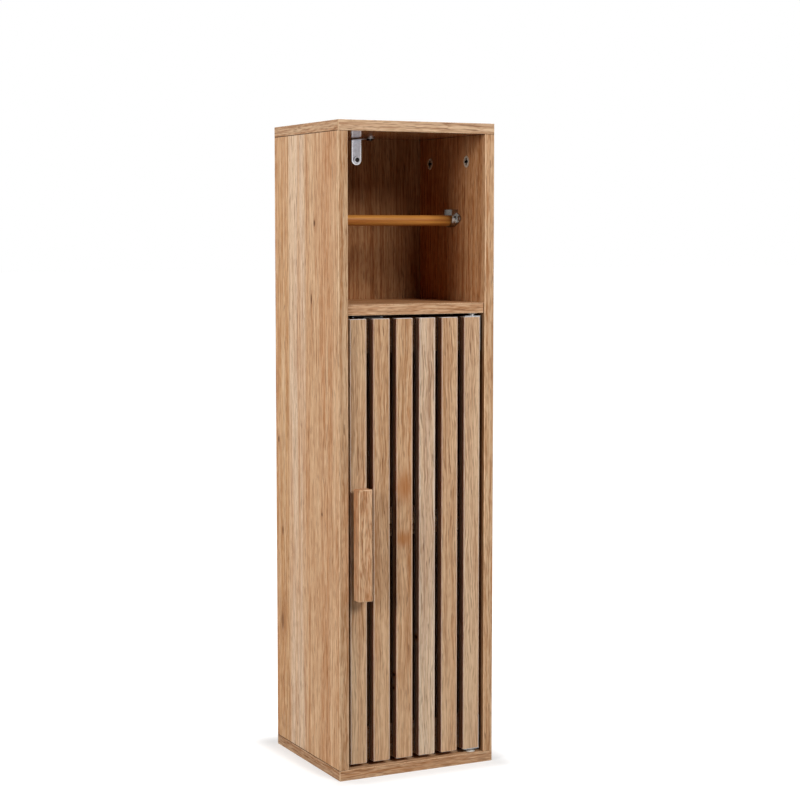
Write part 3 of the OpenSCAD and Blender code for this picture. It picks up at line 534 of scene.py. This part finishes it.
def bracket_steel(name):
    """The bracket's bright steel. The edges of its drop are pressed round, with a pale painted highlight
    along them, and its front tip carries painted shade."""
    low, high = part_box("wall_bracket")
    half = (high.x - low.x) / 2
    f = Finish(name)
    marks = f.noise(f.place, **BRACKET_MARKS)
    across, deep, up = f.parts(f.place)
    below = f.maths("MAXIMUM", f.maths("SUBTRACT", low.z + half, up), 0.0)
    ahead = f.maths("MAXIMUM", f.maths("SUBTRACT", low.y + half, deep), 0.0)
    away = f.length(f.vector(f.sum(across, -(low.x + half)), ahead, below))
    drop = f.ramp(up, *(high.z - step for step in BRACKET_DROP_TOP), 1.0, 0.0)
    rim_start, rim_full = half - BRACKET_RIM_WIDTH, half - BRACKET_RIM_WIDTH * 0.5
    # painted highlight along the drop's rounded edges
    edge = f.times(f.ramp(away, rim_start, rim_full), drop)
    wear_and_tip_shade = f.mix(f.ramp(marks, *BRACKET_WEAR_TONES), BRACKET_FACE, BRACKET_WEAR)
    # painted shade on the front tip
    tip_shade = f.times(f.ramp(ahead, 0.0, BRACKET_TIP_LENGTH), f.maths("SUBTRACT", 1.0, drop))
    wear_and_tip_shade = f.mix(f.times(tip_shade, BRACKET_TIP_SHADE_SHARE), wear_and_tip_shade, BRACKET_TIP_SHADE)
    rough = f.times(f.ramp(marks, *NOISE_SPAN, *BRACKET_ROUGHNESS),
                    f.ramp(edge, 0.0, 1.0, 1.0, BRACKET_RIM_ROUGHNESS, soft=False))
    return f.done(colour=f.mix(edge, wear_and_tip_shade, BRACKET_RIM_HIGHLIGHT), metal=1.0, rough=rough,
                  normal=f.bump(marks, **BRACKET_RELIEF))


def bracket_screw_steel(name):
    """The bracket's two screws: the one on the back panel is bright, with painted shade in its recess; the
    one under the top board is dark all over."""
    low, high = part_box("wall_bracket")
    half = (high.x - low.x) / 2
    f = Finish(name)
    marks = f.noise(f.place, **SCREW_MARKS)
    offset = f.vector_maths("SUBTRACT", f.place, (low.x + half, 0.0, low.z + half))
    away = f.length(f.vector_maths("MULTIPLY", offset, (1.0, 0.0, 1.0)))
    # painted shade in the recess of the screw on the back panel
    cut = f.ramp(away, SCREW_RECESS, SCREW_RECESS + SCREW_RECESS_EDGE, 1.0, 0.0)
    upper = f.ramp(away, half, half + 1 * MM)
    shade = f.mix(f.maths("MAXIMUM", cut, upper), SCREW_HEAD, SCREW_DARK)
    return f.done(colour=shade, metal=f.ramp(cut, 0.0, 1.0, 1.0, SCREW_RECESS_METAL),
                  rough=f.ramp(marks, *NOISE_SPAN, *SCREW_ROUGHNESS), normal=f.bump(marks, **SCREW_RELIEF))


def moulded(name, colour, rough):
    """Moulded plastic with a fine matt grain."""
    f = Finish(name)
    grains = f.noise(f.place, **PLASTIC_GRAIN)
    cloud = f.noise(f.place, **PLASTIC_CLOUD)
    shade = f.mix(f.ramp(cloud, *PLASTIC_CLOUD_TONES), colour, darker(colour, PLASTIC_DARK))
    shine = f.ramp(grains, *NOISE_SPAN, rough - PLASTIC_MOTTLE, rough + PLASTIC_MOTTLE)
    return f.done(colour=shade, rough=shine, normal=f.bump(grains, **PLASTIC_RELIEF))


# ---------------------------------------------------------------- this cabinet's finishes

# The left panel's tones from its front edge to its rear edge, along y
left_bands = (1, [(-97.5, OAK_TAN), (-60, OAK_WARM), (-28, OAK_TAN), (-4, OAK_TAN), (9, OAK_GREY),
                  (49, OAK_GREY), (56, OAK_GOLD), (80, OAK_GOLD), (97.5, OAK_WARM)])
left_knots = [((-106, 78, 167), (6, 5.5, 15), 0.45), ((-106, -27, 678), (4, 2.6, 5.5), 1.0),
              ((-106, -17, 585), (4, 2.2, 9), 1.0), ((-106, 88, 402), (4, 2.4, 6), 1.0),
              ((-106, 76, 285), (4, 2.2, 8), 1.0), ((-106, -47, 322), (4, 2.2, 3.5), 1.0)]
# The first two are brown flames without an eye
slat_knots = [((-15.6, -92.5, 356), (6, 6, 10), 0.0), ((-17, -92.5, 292), (6, 6, 5), 0.0),
              ((4.5, -85, 166), (3, 3, 3), 1.0), ((-26.7, -86, 122), (3, 4, 2.6), 1.0),
              ((-26.7, -85, 105), (3, 2.6, 2.2), 1.0)]
finishes = {
    "left_panel": oak("oak_left_panel", "z", shift=(0, 40, 0), streak=0.95, figure=0.5, bands=left_bands,
                      knots=left_knots, dash=0.4),
    "right_panel": oak("oak_right_panel", "z", shift=(300, 90, 500)),
    "back_panel": oak("oak_back_panel", "z", shift=(90, 700, 200)),
    # The faces inside the bay are darker, warmer copies of the oak: their light shares and inner tones paint
    # the bay's shade
    "bay_back": oak("oak_bay_back", "z", shift=(90, 700, 200), light=0.58,
                    inner=(0.6, (1.0, 0.78, 0.60), (0.97, 0.76, 0.58))),
    "bay_side": oak("oak_bay_side", "z", shift=(300, 90, 500), light=0.86, tone=BAY_SIDE_SHADE_OAK, streak=1.2,
                    inner=(0.45, (1.0, 0.87, 0.74), (0.78, 0.50, 0.32))),
    "bay_roof": oak("oak_bay_roof", "x", shift=(10, 240, 170), light=0.80, gloss=0.5, matt=0.30,
                    inner=(1.0, (1.0, 0.80, 0.62), (0.8, 0.6, 0.45))),
    "bay_floor": oak("oak_bay_floor", "x", shift=(120, 340, 70), light=0.96,
                     inner=(1.0, (1.0, 0.92, 0.84), (0.88, 0.70, 0.52))),
    # The panels' left and right front edges are lit and shaded copies: their light shares paint the shade
    "left_edge": oak("oak_left_edge", "z", shift=(500, 20, 900), figure=0.5, light=0.885),
    "right_edge": oak("oak_right_edge", "z", shift=(500, 20, 900), figure=0.5, light=0.99),
    "board_across": oak("oak_board_across", "x", shift=(60, 400, 10)),
    "board_front": oak("oak_board_front", "x", shift=(60, 400, 10), tone=FRONT_OAK),
    "board_end": oak("oak_board_end", "y", shift=(200, 10, 80)),
    # The foot's front and ends and the top board's ends keep only a share of light, as painted shade
    "foot_front": oak("oak_foot_front", "x", shift=(260, 140, 10), light=0.93, tone=FOOT_FRONT_OAK),
    "foot_end": oak("oak_foot_end", "y", shift=(140, 70, 80), light=0.77, tone=FOOT_END_OAK),
    "top_end": oak("oak_top_end", "y", shift=(200, 10, 80), light=0.83, tone=TOP_END_OAK),
    # Chamfers where boards meet are painted nearly black, as shade in the joints
    "seam": oak("oak_seam", "z", figure=0.2, streak=0.5, light=0.22, tone=OAK_DEEP),
    # The boards' chamfers carry a pale painted highlight
    "arris": oak("oak_arris", "z", shift=(20, 60, 30), figure=0.2, streak=0.6, tone=OAK_ARRIS_HIGHLIGHT),
    "slats": slat_oak("oak_slats", slat_knots),
    # The door rails' front faces, seen behind the slats, are a copy at half light, as painted shade
    "rail_front_shade": oak("oak_rail_front", "x", shift=(0, 100, 60), light=0.50, tone=OAK_WARM),
    "rail_back": oak("oak_rail_back", "x", shift=(0, 100, 60), light=0.92, tone=OAK_WARM),
    "handle": oak("oak_handle", "z", shift=(800, 300, 120), figure=0.3, streak=0.5, dash=1.1,
                  tone=HANDLE_OAK),
    "handle_side": oak("oak_handle_side", "z", shift=(800, 300, 120), figure=0.3, streak=0.7,
                       tone=HANDLE_SIDE_OAK),
    # The handle's cut arrises carry a pale painted highlight
    "handle_arris_highlight": oak("oak_handle_arris", "z", shift=(20, 60, 30), figure=0.2, streak=0.5,
                        tone=OAK_ARRIS_HIGHLIGHT),
    "spacers": oak("oak_spacers", "y", shift=(80, 30, 20)),
    "bamboo": bamboo("bamboo_bar"),
    "beech": oak("beech_dowels", "x", tone=BEECH, figure=0.3, streak=0.4),
    "chrome": metal("socket_chrome", CHROME, 0.20, mottle=0.05),
    "steel": metal("zinc_plated_steel", ZINC_PLATE, 0.30),
    # darker plate steel, as painted shade in the door's narrow gaps
    "plate_steel": metal("pivot_plate_steel", PIVOT_PLATE, 0.34),
    "strike_steel": metal("strike_plate_steel", STRIKE_PLATE, 0.42),
    "bracket": bracket_steel("bracket_steel"),
    "bracket_screws": bracket_screw_steel("bracket_screw_steel"),
    # The cam locks' faces are pale and mostly matt, as a painted highlight; their cuts are dark, as painted
    # shade
    "lock_zinc": metal("lock_zinc", LOCK_ZINC_HIGHLIGHT, 0.34, mottle=0.10, brushed=700, metallic_share=0.25),
    "lock_cut_shade": metal("lock_cut_zinc", LOCK_CUT_SHADE, 0.40, mottle=0.10),
    "nylon": moulded("nylon_bush", NYLON, 0.48),
    "brown_plastic": moulded("brown_catch_plastic", BROWN_PLASTIC, 0.46),
    "magnet": metal("magnet_block", MAGNET, 0.50, mottle=0.10),
}


# ---------------------------------------------------------------- making pieces

BOARDS = ("left_side_panel", "right_side_panel", "back_panel", "top_board", "bottom_board", "fixed_shelf")
# A place on a board this close to another board lies against it
MEETING = 1.2 * MM
# Corners this close are one corner
COINCIDENT = 0.001 * MM
MERGED = 0.002 * MM
ON_PLANE = 0.01 * MM
FLAT_ANGLE = radians(0.5)
GENTLE_BEND = (radians(2), radians(35))
SHARP_ANGLE = radians(50)
FACING = 0.9

# The numbers of a board's finishes, after those of its faces along x, y and z
ARRIS, SEAM, LINING = 3, 4, 5

# A cam lock's cross, as a share of its width, and how deep a face of its cut lies
LOCK_CROSS_SHARE = 0.42
LOCK_CUT_DEPTH = 1.0 * MM


def new_piece(name, mesh, body, replaced):
    """Puts a finished mesh into the scene: it rides on a body and stands for CAD nodes."""
    mesh.name = name
    piece = bpy.data.objects.new(name, mesh)
    bpy.context.scene.collection.objects.link(piece)
    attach(piece, body)
    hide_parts(*replaced)
    return piece


def merged_copy(node):
    """A node's mesh as one closed skin, with the triangles of each flat face joined."""
    skin = bmesh.new()
    skin.from_mesh(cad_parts[node].data)
    bmesh.ops.remove_doubles(skin, verts=skin.verts, dist=MERGED)
    bmesh.ops.dissolve_limit(skin, angle_limit=FLAT_ANGLE, verts=skin.verts, edges=skin.edges)
    return skin


def split_large(skin):
    """Cuts the faces with more than four corners into triangles."""
    bmesh.ops.triangulate(skin, faces=[face for face in skin.faces if len(face.verts) > 4])


def finished_mesh(name, skin, keys):
    """Turns a skin into a mesh with finishes. A face's material number counts along keys."""
    mesh = bpy.data.meshes.new(name)
    skin.to_mesh(mesh)
    skin.free()
    for key in keys:
        mesh.materials.append(finishes[key])
    return mesh


def shade_by_form(skin, rounded=()):
    """Flat faces stay flat. Rounded edges, and faces that bend gently into a like face, are smooth."""
    skin.normal_update()
    rounded = set(rounded)
    least, most = GENTLE_BEND
    for face in skin.faces:
        face.smooth = face in rounded or any(
            edge.is_manifold and least < edge.calc_face_angle(0) < most
            and not rounded.intersection(edge.link_faces) for edge in face.edges)


def ease_box_edges(skin, low, high, upright, others):
    """Eases the edges of a board's outer box, without those of its holes: upright ones, then the rest."""
    def sides(vert):
        return {(axis, end) for axis in range(3) for end, corner in enumerate((low, high))
                if abs(vert.co[axis] - corner[axis]) < ON_PLANE}
    for width, wanted in ((upright, True), (others, False)):
        edges = []
        for edge in skin.edges:
            shared = sides(edge.verts[0]) & sides(edge.verts[1])
            if len(shared) >= 2 and ({axis for axis, end in shared} == {0, 1}) == wanted:
                edges.append(edge)
        bmesh.ops.bevel(skin, geom=edges, offset=width, segments=1, affect="EDGES", clamp_overlap=False,
                        material=ARRIS)


def meets_board(place, own):
    """Whether a place on a board's edge lies against another board."""
    for node in BOARDS:
        if node != own:
            low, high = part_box(node)
            if all(low[axis] - MEETING < place[axis] < high[axis] + MEETING for axis in range(3)):
                return True
    return False


def soft_board(name, node, body, faces, arris, upright=0.5 * MM, others=0.4 * MM, lining=None):
    """A board with its arrises eased, painted dark as shade in the joint where they lie against another
    board.
    faces is a finish for each axis that a face can look along. lining is the direction of the face that looks
    into the cabinet, and its finish."""
    skin = merged_copy(node)
    ease_box_edges(skin, *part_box(node), upright, others)
    skin.normal_update()
    for face in skin.faces:
        face.smooth = False
        if lining and face.normal.dot(Vector(lining[0])) > FACING:
            face.material_index = LINING
        elif face.material_index != ARRIS:
            face.material_index = max(range(3), key=lambda axis: abs(face.normal[axis]))
        # a chamfer against another board is painted as shade in the joint
        elif meets_board(face.calc_center_median(), node):
            face.material_index = SEAM
    split_large(skin)
    mesh = finished_mesh(name, skin, faces + (arris, "seam", lining[1] if lining else faces[0]))
    return new_piece(name, mesh, body, [node])


def eased(name, node, body, finish, width):
    """A small fitting whose sharp edges are eased all round."""
    skin = merged_copy(node)
    edges = [edge for edge in skin.edges if len(edge.link_faces) == 2
             and edge.calc_face_angle(0) > SHARP_ANGLE]
    eased_faces = bmesh.ops.bevel(skin, geom=edges, offset=width, segments=2, profile=0.5, affect="EDGES",
                                  clamp_overlap=True)["faces"]
    shade_by_form(skin, eased_faces)
    split_large(skin)
    return new_piece(name, finished_mesh(name, skin, [finish]), body, [node])


def islands(skin):
    """The separate solids of a mesh, each as its list of faces."""
    left = set(skin.faces)
    while left:
        found = [left.pop()]
        for face in found:
            for edge in face.edges:
                near = left.intersection(edge.link_faces)
                left -= near
                found.extend(near)
        yield found


def lock_faces(name, node, body, finish, recess):
    """The cam locks: round faces with a cross cut into them. The cut takes a darker finish than the face, as
    painted shade.
    """
    skin = merged_copy(node)
    shade_by_form(skin)
    for solid in islands(skin):
        places = [vert.co for face in solid for vert in face.verts]
        low = Vector([min(place[axis] for place in places) for axis in range(3)])
        high = Vector([max(place[axis] for place in places) for axis in range(3)])
        centre, size = (low + high) / 2, high - low
        lie = min(range(3), key=lambda axis: size[axis])
        cross_radius = max(size) * LOCK_CROSS_SHARE
        for face in solid:
            away = face.calc_center_median() - centre
            depth = size[lie] / 2 - abs(away[lie])
            away[lie] = 0.0
            wall = abs(face.normal[lie]) < 0.5
            if away.length < cross_radius and (wall or depth > LOCK_CUT_DEPTH):
                face.material_index = 1
    split_large(skin)
    return new_piece(name, finished_mesh(name, skin, (finish, recess)), body, [node])


# ---------------------------------------------------------------- shapes that follow a rule

SLAT_COUNT = 6
SLAT_EDGE_RADIUS = 0.6 * MM
SLAT_EDGE_STEPS = 4
SLAT_END_EASING = 0.5 * MM
# Faces of a slat narrower than this belong to its rounded edges
SLAT_ROUND_WIDTH = 0.6 * MM

BAR_ROUNDING = 1.6 * MM
BAR_SIDES = 96
BAR_STEPS = 8

HANDLE_CORNER = 1.0 * MM
HANDLE_CUT = 1.1 * MM
HANDLE_STEPS = 4


class ShapeTree(Nodes):
    """A geometry node tree with named inputs. It ends in Realize Instances and Set Material."""

    def __init__(self, name, sizes):
        super().__init__(bpy.data.node_groups.new(name, "GeometryNodeTree"))
        self.sizes = sizes
        face = self.tree.interface
        face.new_socket("Geometry", in_out="OUTPUT", socket_type="NodeSocketGeometry")
        kinds = {int: "NodeSocketInt", float: "NodeSocketFloat", tuple: "NodeSocketVector",
                 bpy.types.Material: "NodeSocketMaterial"}
        self.keys = {}
        for key, value in sizes.items():
            socket = face.new_socket(key, in_out="INPUT", socket_type=kinds[type(value)])
            self.keys[key] = socket.identifier
        self.given = self.tree.nodes.new("NodeGroupInput").outputs

    def finish(self, geometry):
        """Ends the tree, runs it once on an empty mesh and gives back the plain mesh."""
        real = self.add("GeometryNodeRealizeInstances", {"Geometry": geometry})
        painted = self.add("GeometryNodeSetMaterial", {"Geometry": real.outputs[0],
                                                       "Material": self.given["Finish"]})
        self.add("NodeGroupOutput", {0: painted.outputs[0]})
        holder = bpy.data.objects.new(self.tree.name, bpy.data.meshes.new(self.tree.name))
        bpy.context.scene.collection.objects.link(holder)
        modifier = holder.modifiers.new("shape", "NODES")
        modifier.node_group = self.tree
        for key, value in self.sizes.items():
            modifier[self.keys[key]] = value
        bpy.context.view_layer.update()
        shaped = holder.evaluated_get(bpy.context.evaluated_depsgraph_get())
        mesh = bpy.data.meshes.new_from_object(shaped)
        holder.modifiers.clear()
        bpy.data.objects.remove(holder)
        return mesh


def slat_row():
    """The door's slats: one rounded strip, repeated at an even pitch from the handle to the pivots."""
    first_low, first_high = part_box("door_slat_1")
    next_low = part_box("door_slat_2")[0]
    t = ShapeTree("slat_row", {
        "Slat Count": SLAT_COUNT, "Slat Width": first_high.x - first_low.x,
        "Slat Thickness": first_high.y - first_low.y, "Slat Height": first_high.z - first_low.z,
        "Slat Gap": next_low.x - first_high.x, "Edge Radius": SLAT_EDGE_RADIUS,
        "First Corner": tuple(first_low), "Finish": finishes["slats"]})
    width, thickness = t.given["Slat Width"], t.given["Slat Thickness"]
    outline = t.add("GeometryNodeCurvePrimitiveQuadrilateral", {"Width": width, "Height": thickness})
    rounded = t.add("GeometryNodeFilletCurve", {"Curve": outline.outputs[0], "Count": SLAT_EDGE_STEPS,
                                                "Radius": t.given["Edge Radius"]}, mode="POLY")
    end_face = t.add("GeometryNodeFillCurve", {"Curve": rounded.outputs[0]}, mode="NGONS")
    grown = t.add("GeometryNodeExtrudeMesh", {"Mesh": end_face.outputs[0], "Offset": (0.0, 0.0, 1.0),
                                              "Offset Scale": t.given["Slat Height"]}, mode="FACES")
    foot = t.add("GeometryNodeFlipFaces", {"Mesh": end_face.outputs[0]})
    joined = t.add("GeometryNodeJoinGeometry")
    t.tree.links.new(foot.outputs[0], joined.inputs[0])
    t.tree.links.new(grown.outputs[0], joined.inputs[0])
    strip = t.add("GeometryNodeMergeByDistance", {"Geometry": joined.outputs[0], "Distance": COINCIDENT})
    middle = t.vector(t.maths("MULTIPLY", width, 0.5), t.maths("MULTIPLY", thickness, 0.5))
    start = t.vector_maths("ADD", t.given["First Corner"], middle)
    pitch = t.vector(t.maths("ADD", width, t.given["Slat Gap"]))
    places = t.add("GeometryNodeMeshLine", {"Count": t.given["Slat Count"], "Start Location": start,
                                            "Offset": pitch}, mode="OFFSET")
    row = t.add("GeometryNodeInstanceOnPoints", {"Points": places.outputs[0], "Instance": strip.outputs[0]})
    number = t.maths("ADD", t.add("GeometryNodeInputIndex").outputs[0], 1.0)
    numbered = t.add("GeometryNodeStoreNamedAttribute",
                     {"Geometry": row.outputs[0], "Name": "slat_number", "Value": number},
                     data_type="FLOAT", domain="INSTANCE")
    mesh = t.finish(numbered.outputs[0])
    low, high = first_low.z, first_high.z
    skin = bmesh.new()
    skin.from_mesh(mesh)
    ends = [edge for edge in skin.edges
            if all(min(abs(vert.co.z - low), abs(vert.co.z - high)) < ON_PLANE for vert in edge.verts)]
    bmesh.ops.bevel(skin, geom=ends, offset=SLAT_END_EASING, segments=1, affect="EDGES")
    skin.normal_update()
    for face in skin.faces:
        face.smooth = face.calc_area() < (high - low) * SLAT_ROUND_WIDTH
    skin.to_mesh(mesh)
    skin.free()
    names = ["door_slat_%d" % number for number in range(1, SLAT_COUNT + 1)]
    return new_piece("door_slats", mesh, "door", names)


def ringed_skin(rings):
    """A closed skin over rings of places: a strip from each ring to the next, and a cap on each end. Gives
    back the skin and its strips, each as its list of faces."""
    skin = bmesh.new()
    rows = [[skin.verts.new(place) for place in ring] for ring in rings]
    count = len(rows[0])
    strips = [[skin.faces.new((near[k], near[(k + 1) % count], far[(k + 1) % count], far[k]))
               for k in range(count)] for near, far in zip(rows, rows[1:])]
    skin.faces.new(rows[0])
    skin.faces.new(rows[-1])
    return skin, strips


def turned_bar():
    """The roll bar, turned with softly rounded ends."""
    low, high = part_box("roll_bar")
    centre = (low + high) / 2
    radius = (high.z - low.z) / 2
    stations = []
    for step in range(BAR_STEPS, -1, -1):
        turn = pi / 2 * step / BAR_STEPS
        stations.append((low.x + BAR_ROUNDING * (1 - sin(turn)), radius - BAR_ROUNDING * (1 - cos(turn))))
    stations += [(low.x + high.x - x, r) for x, r in reversed(stations)]
    turns = [2 * pi * k / BAR_SIDES for k in range(BAR_SIDES)]
    skin, _ = ringed_skin([[(x, centre.y + r * cos(turn), centre.z + r * sin(turn)) for turn in turns]
                           for x, r in stations])
    bmesh.ops.recalc_face_normals(skin, faces=skin.faces)
    for face in skin.faces:
        face.smooth = len(face.verts) == 4
    mesh = finished_mesh("turned_roll_bar", skin, ["bamboo"])
    return new_piece("turned_roll_bar", mesh, "roll_bar", ["roll_bar"])


def handle_block():
    """The handle bar: a block whose front and back edges are cut to a narrow arris all round."""
    low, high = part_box("handle_bar")
    rings = []
    for y, inset in ((low.y, HANDLE_CUT), (low.y + HANDLE_CUT, 0.0), (high.y - HANDLE_CUT, 0.0),
                     (high.y, HANDLE_CUT)):
        ring = []
        for number, (right, top) in enumerate(((1, 1), (0, 1), (0, 0), (1, 0))):
            centre_x = high.x - HANDLE_CORNER if right else low.x + HANDLE_CORNER
            centre_z = high.z - HANDLE_CORNER if top else low.z + HANDLE_CORNER
            for step in range(HANDLE_STEPS + 1):
                turn = pi / 2 * (number + step / HANDLE_STEPS)
                x, z = centre_x + HANDLE_CORNER * cos(turn), centre_z + HANDLE_CORNER * sin(turn)
                x = min(max(x, low.x + inset), high.x - inset)
                z = min(max(z, low.z + inset), high.z - inset)
                ring.append((x, y, z))
        rings.append(ring)
    skin, strips = ringed_skin(rings)
    # The cut arrises take the finish with the pale painted highlight
    finish_order = ("handle", "handle_arris_highlight", "handle_side")
    for strip, finish in zip(strips, ("handle_arris_highlight", "handle_side", "handle_arris_highlight")):
        for face in strip:
            face.material_index = finish_order.index(finish)
    bmesh.ops.remove_doubles(skin, verts=skin.verts, dist=COINCIDENT)
    bmesh.ops.recalc_face_normals(skin, faces=skin.faces)
    mesh = finished_mesh("handle_bar_eased", skin, finish_order)
    return new_piece("handle_bar_eased", mesh, "door", ["handle_bar"])


# ---------------------------------------------------------------- the cabinet's pieces

FRONT_EASING = 0.9 * MM
BOARD_EASING = 0.5 * MM
BACK_EASING = 0.3 * MM
SOCKET_EASING = 0.25 * MM
BRACKET_EASING = 0.3 * MM
PLATE_EASING = 0.2 * MM

slat_row()
turned_bar()

for side, inwards in (("left", (1, 0, 0)), ("right", (-1, 0, 0))):
    soft_board(side + "_panel_eased", side + "_side_panel", "cabinet",
               (side + "_panel", side + "_edge", "board_end"), "arris", upright=FRONT_EASING,
               lining=(inwards, "bay_side"))
soft_board("back_panel_eased", "back_panel", "cabinet", ("back_panel",) * 3, "back_panel",
           upright=BACK_EASING, others=BACK_EASING, lining=((0, -1, 0), "bay_back"))
for board, end, front, lining in (("top_board", "top_end", "board_front", ((0, 0, -1), "bay_roof")),
                                  ("bottom_board", "foot_end", "foot_front", None),
                                  ("fixed_shelf", "board_end", "board_front", ((0, 0, 1), "bay_floor")),
                                  ("inner_shelf", "board_end", "board_front", None)):
    soft_board(board + "_eased", board, "cabinet", (end, front, "board_across"),
               "arris", upright=FRONT_EASING, others=BOARD_EASING, lining=lining)
# The rails' fronts and chamfers take the painted-shade copy
for rail in ("door_top_rail", "door_bottom_rail"):
    soft_board(rail + "_eased", rail, "door", ("rail_back", "rail_back", "rail_front_shade"),
               "rail_front_shade", lining=((0, -1, 0), "rail_front_shade"))

handle_block()
for side in ("left", "right"):
    eased(side + "_socket_eased", side + "_roll_socket", "cabinet", "chrome",
          SOCKET_EASING)
eased("wall_bracket_eased", "wall_bracket", "cabinet", "bracket", BRACKET_EASING)
lock_faces("cam_locks_cut", "cam_locks", "cabinet", "lock_zinc", "lock_cut_shade")
for end in ("top", "bottom"):
    eased(end + "_pivot_plate_eased", end + "_pivot_plate", "door", "plate_steel", PLATE_EASING)

# The small fittings keep their own meshes
node_finishes = {
    "shelf_pins": "steel", "cam_bolts": "steel", "joint_dowels": "beech",
    "wall_bracket_screws": "bracket_screws", "roll_socket_screws": "chrome", "rail_screws": "steel",
    "handle_spacers": "spacers", "handle_screws": "steel", "pivot_plate_screws": "steel",
    "top_pivot_bush": "nylon", "bottom_pivot_bush": "nylon", "catch_housing": "brown_plastic",
    "catch_magnet": "magnet", "catch_screws": "steel", "strike_plate": "strike_steel",
    "strike_plate_screws": "steel"}
for node, finish in node_finishes.items():
    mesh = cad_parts[node].data
    mesh.materials.clear()
    mesh.materials.append(finishes[finish])


# ---------------------------------------------------------------- floor, light and camera

FLOOR_COLOUR = (0.56, 0.55, 0.54, 1.0)
FLOOR_REACH = 30.0
# The floor's own white is weaker at the cabinet's foot, and full this far from it, so that a shadow shows
FLOOR_GLOW = 0.50
FLOOR_GLOW_FULL = 0.05
ROOM_LIGHT = 0.045
# Each lamp's place, the place that it faces, the side of its square in metres, and its watts
LAMPS = {
    "front_lamp": ((0.75, -2.45, 2.15), (0, 0, 0.42), 1.1, 62),
    "left_lamp": ((-2.6, -0.95, 1.25), (0, 0, 0.42), 0.9, 40),
    "rear_lamp": ((-1.8, 2.3, 1.3), (0, 0, 0.40), 1.2, 44),
}
CAMERA_PLACE = (-1.0432, -2.1415, 0.6643)
# In degrees: down from level, and to the right of straight at the back panel
CAMERA_DOWN, CAMERA_RIGHT = 5.019, 26.497
# In millimetres
CAMERA_LENS, CAMERA_SENSOR = 84.85, 36
# In metres
CAMERA_SIGHT = 100


def seen_plainly(nodes):
    """1 where the camera, a shiny surface or glass sees it, and 0 where it only lights the cabinet."""
    path = nodes.add("ShaderNodeLightPath").outputs
    seen = nodes.maths("MAXIMUM", path["Is Camera Ray"], path["Is Glossy Ray"])
    return nodes.maths("MAXIMUM", seen, path["Is Transmission Ray"])


def white_ground(name):
    """Shows white to the camera and to metal, and still takes the cabinet's shadow near its foot."""
    f = Finish(name)
    half_foot = (cad_box[1][0], cad_box[1][0], 1.0)
    past = f.vector_maths("SUBTRACT", f.vector_maths("ABSOLUTE", f.place), half_foot)
    away = f.length(f.vector_maths("MAXIMUM", past, (0.0, 0.0, 0.0)))
    level = f.ramp(away, 0.0, FLOOR_GLOW_FULL, FLOOR_GLOW, 1.0)
    matt = f.add("ShaderNodeBsdfDiffuse", {"Color": FLOOR_COLOUR})
    glow = f.add("ShaderNodeEmission", {"Color": WHITE, "Strength": f.times(seen_plainly(f), level)})
    both = f.add("ShaderNodeAddShader", {0: matt.outputs[0], 1: glow.outputs[0]})
    f.add("ShaderNodeOutputMaterial", {"Surface": both.outputs[0]})
    return f.material


def soft_lamp(name, place, target, size, power):
    """A square lamp that faces a place."""
    lamp = bpy.data.lights.new(name, "AREA")
    lamp.shape = "SQUARE"
    lamp.size = size
    lamp.energy = power
    holder = bpy.data.objects.new(name, lamp)
    holder.location = place
    holder.rotation_euler = (Vector(target) - Vector(place)).to_track_quat("-Z", "Y").to_euler()
    bpy.context.scene.collection.objects.link(holder)
    return holder


floor_mesh = bpy.data.meshes.new("floor")
corners = [(x * FLOOR_REACH, y * FLOOR_REACH, 0) for x, y in ((-1, -1), (1, -1), (1, 1), (-1, 1))]
floor_mesh.from_pydata(corners, [], [(0, 1, 2, 3)])
floor_mesh.materials.append(white_ground("pale_floor"))
floor = bpy.data.objects.new("floor", floor_mesh)
bpy.context.scene.collection.objects.link(floor)

world = bpy.data.worlds.new("white_room")
bpy.context.scene.world = world
world.use_nodes = True
world.node_tree.nodes.clear()
room = Nodes(world.node_tree)
strength = room.ramp(seen_plainly(room), 0.0, 1.0, ROOM_LIGHT, 1.0, soft=False)
sky = room.add("ShaderNodeBackground", {"Color": WHITE, "Strength": strength})
room.add("ShaderNodeOutputWorld", {"Surface": sky.outputs[0]})

for name, (place, target, size, power) in LAMPS.items():
    soft_lamp(name, place, target, size, power)

camera = bpy.data.objects.new("camera", bpy.data.cameras.new("camera"))
bpy.context.scene.collection.objects.link(camera)
camera.location = CAMERA_PLACE
camera.rotation_euler = (radians(90 - CAMERA_DOWN), 0, radians(-CAMERA_RIGHT))
camera.data.lens = CAMERA_LENS
camera.data.sensor_width = CAMERA_SENSOR
camera.data.clip_end = CAMERA_SIGHT
bpy.context.scene.camera = camera
bpy.context.scene.view_settings.view_transform = "Standard"
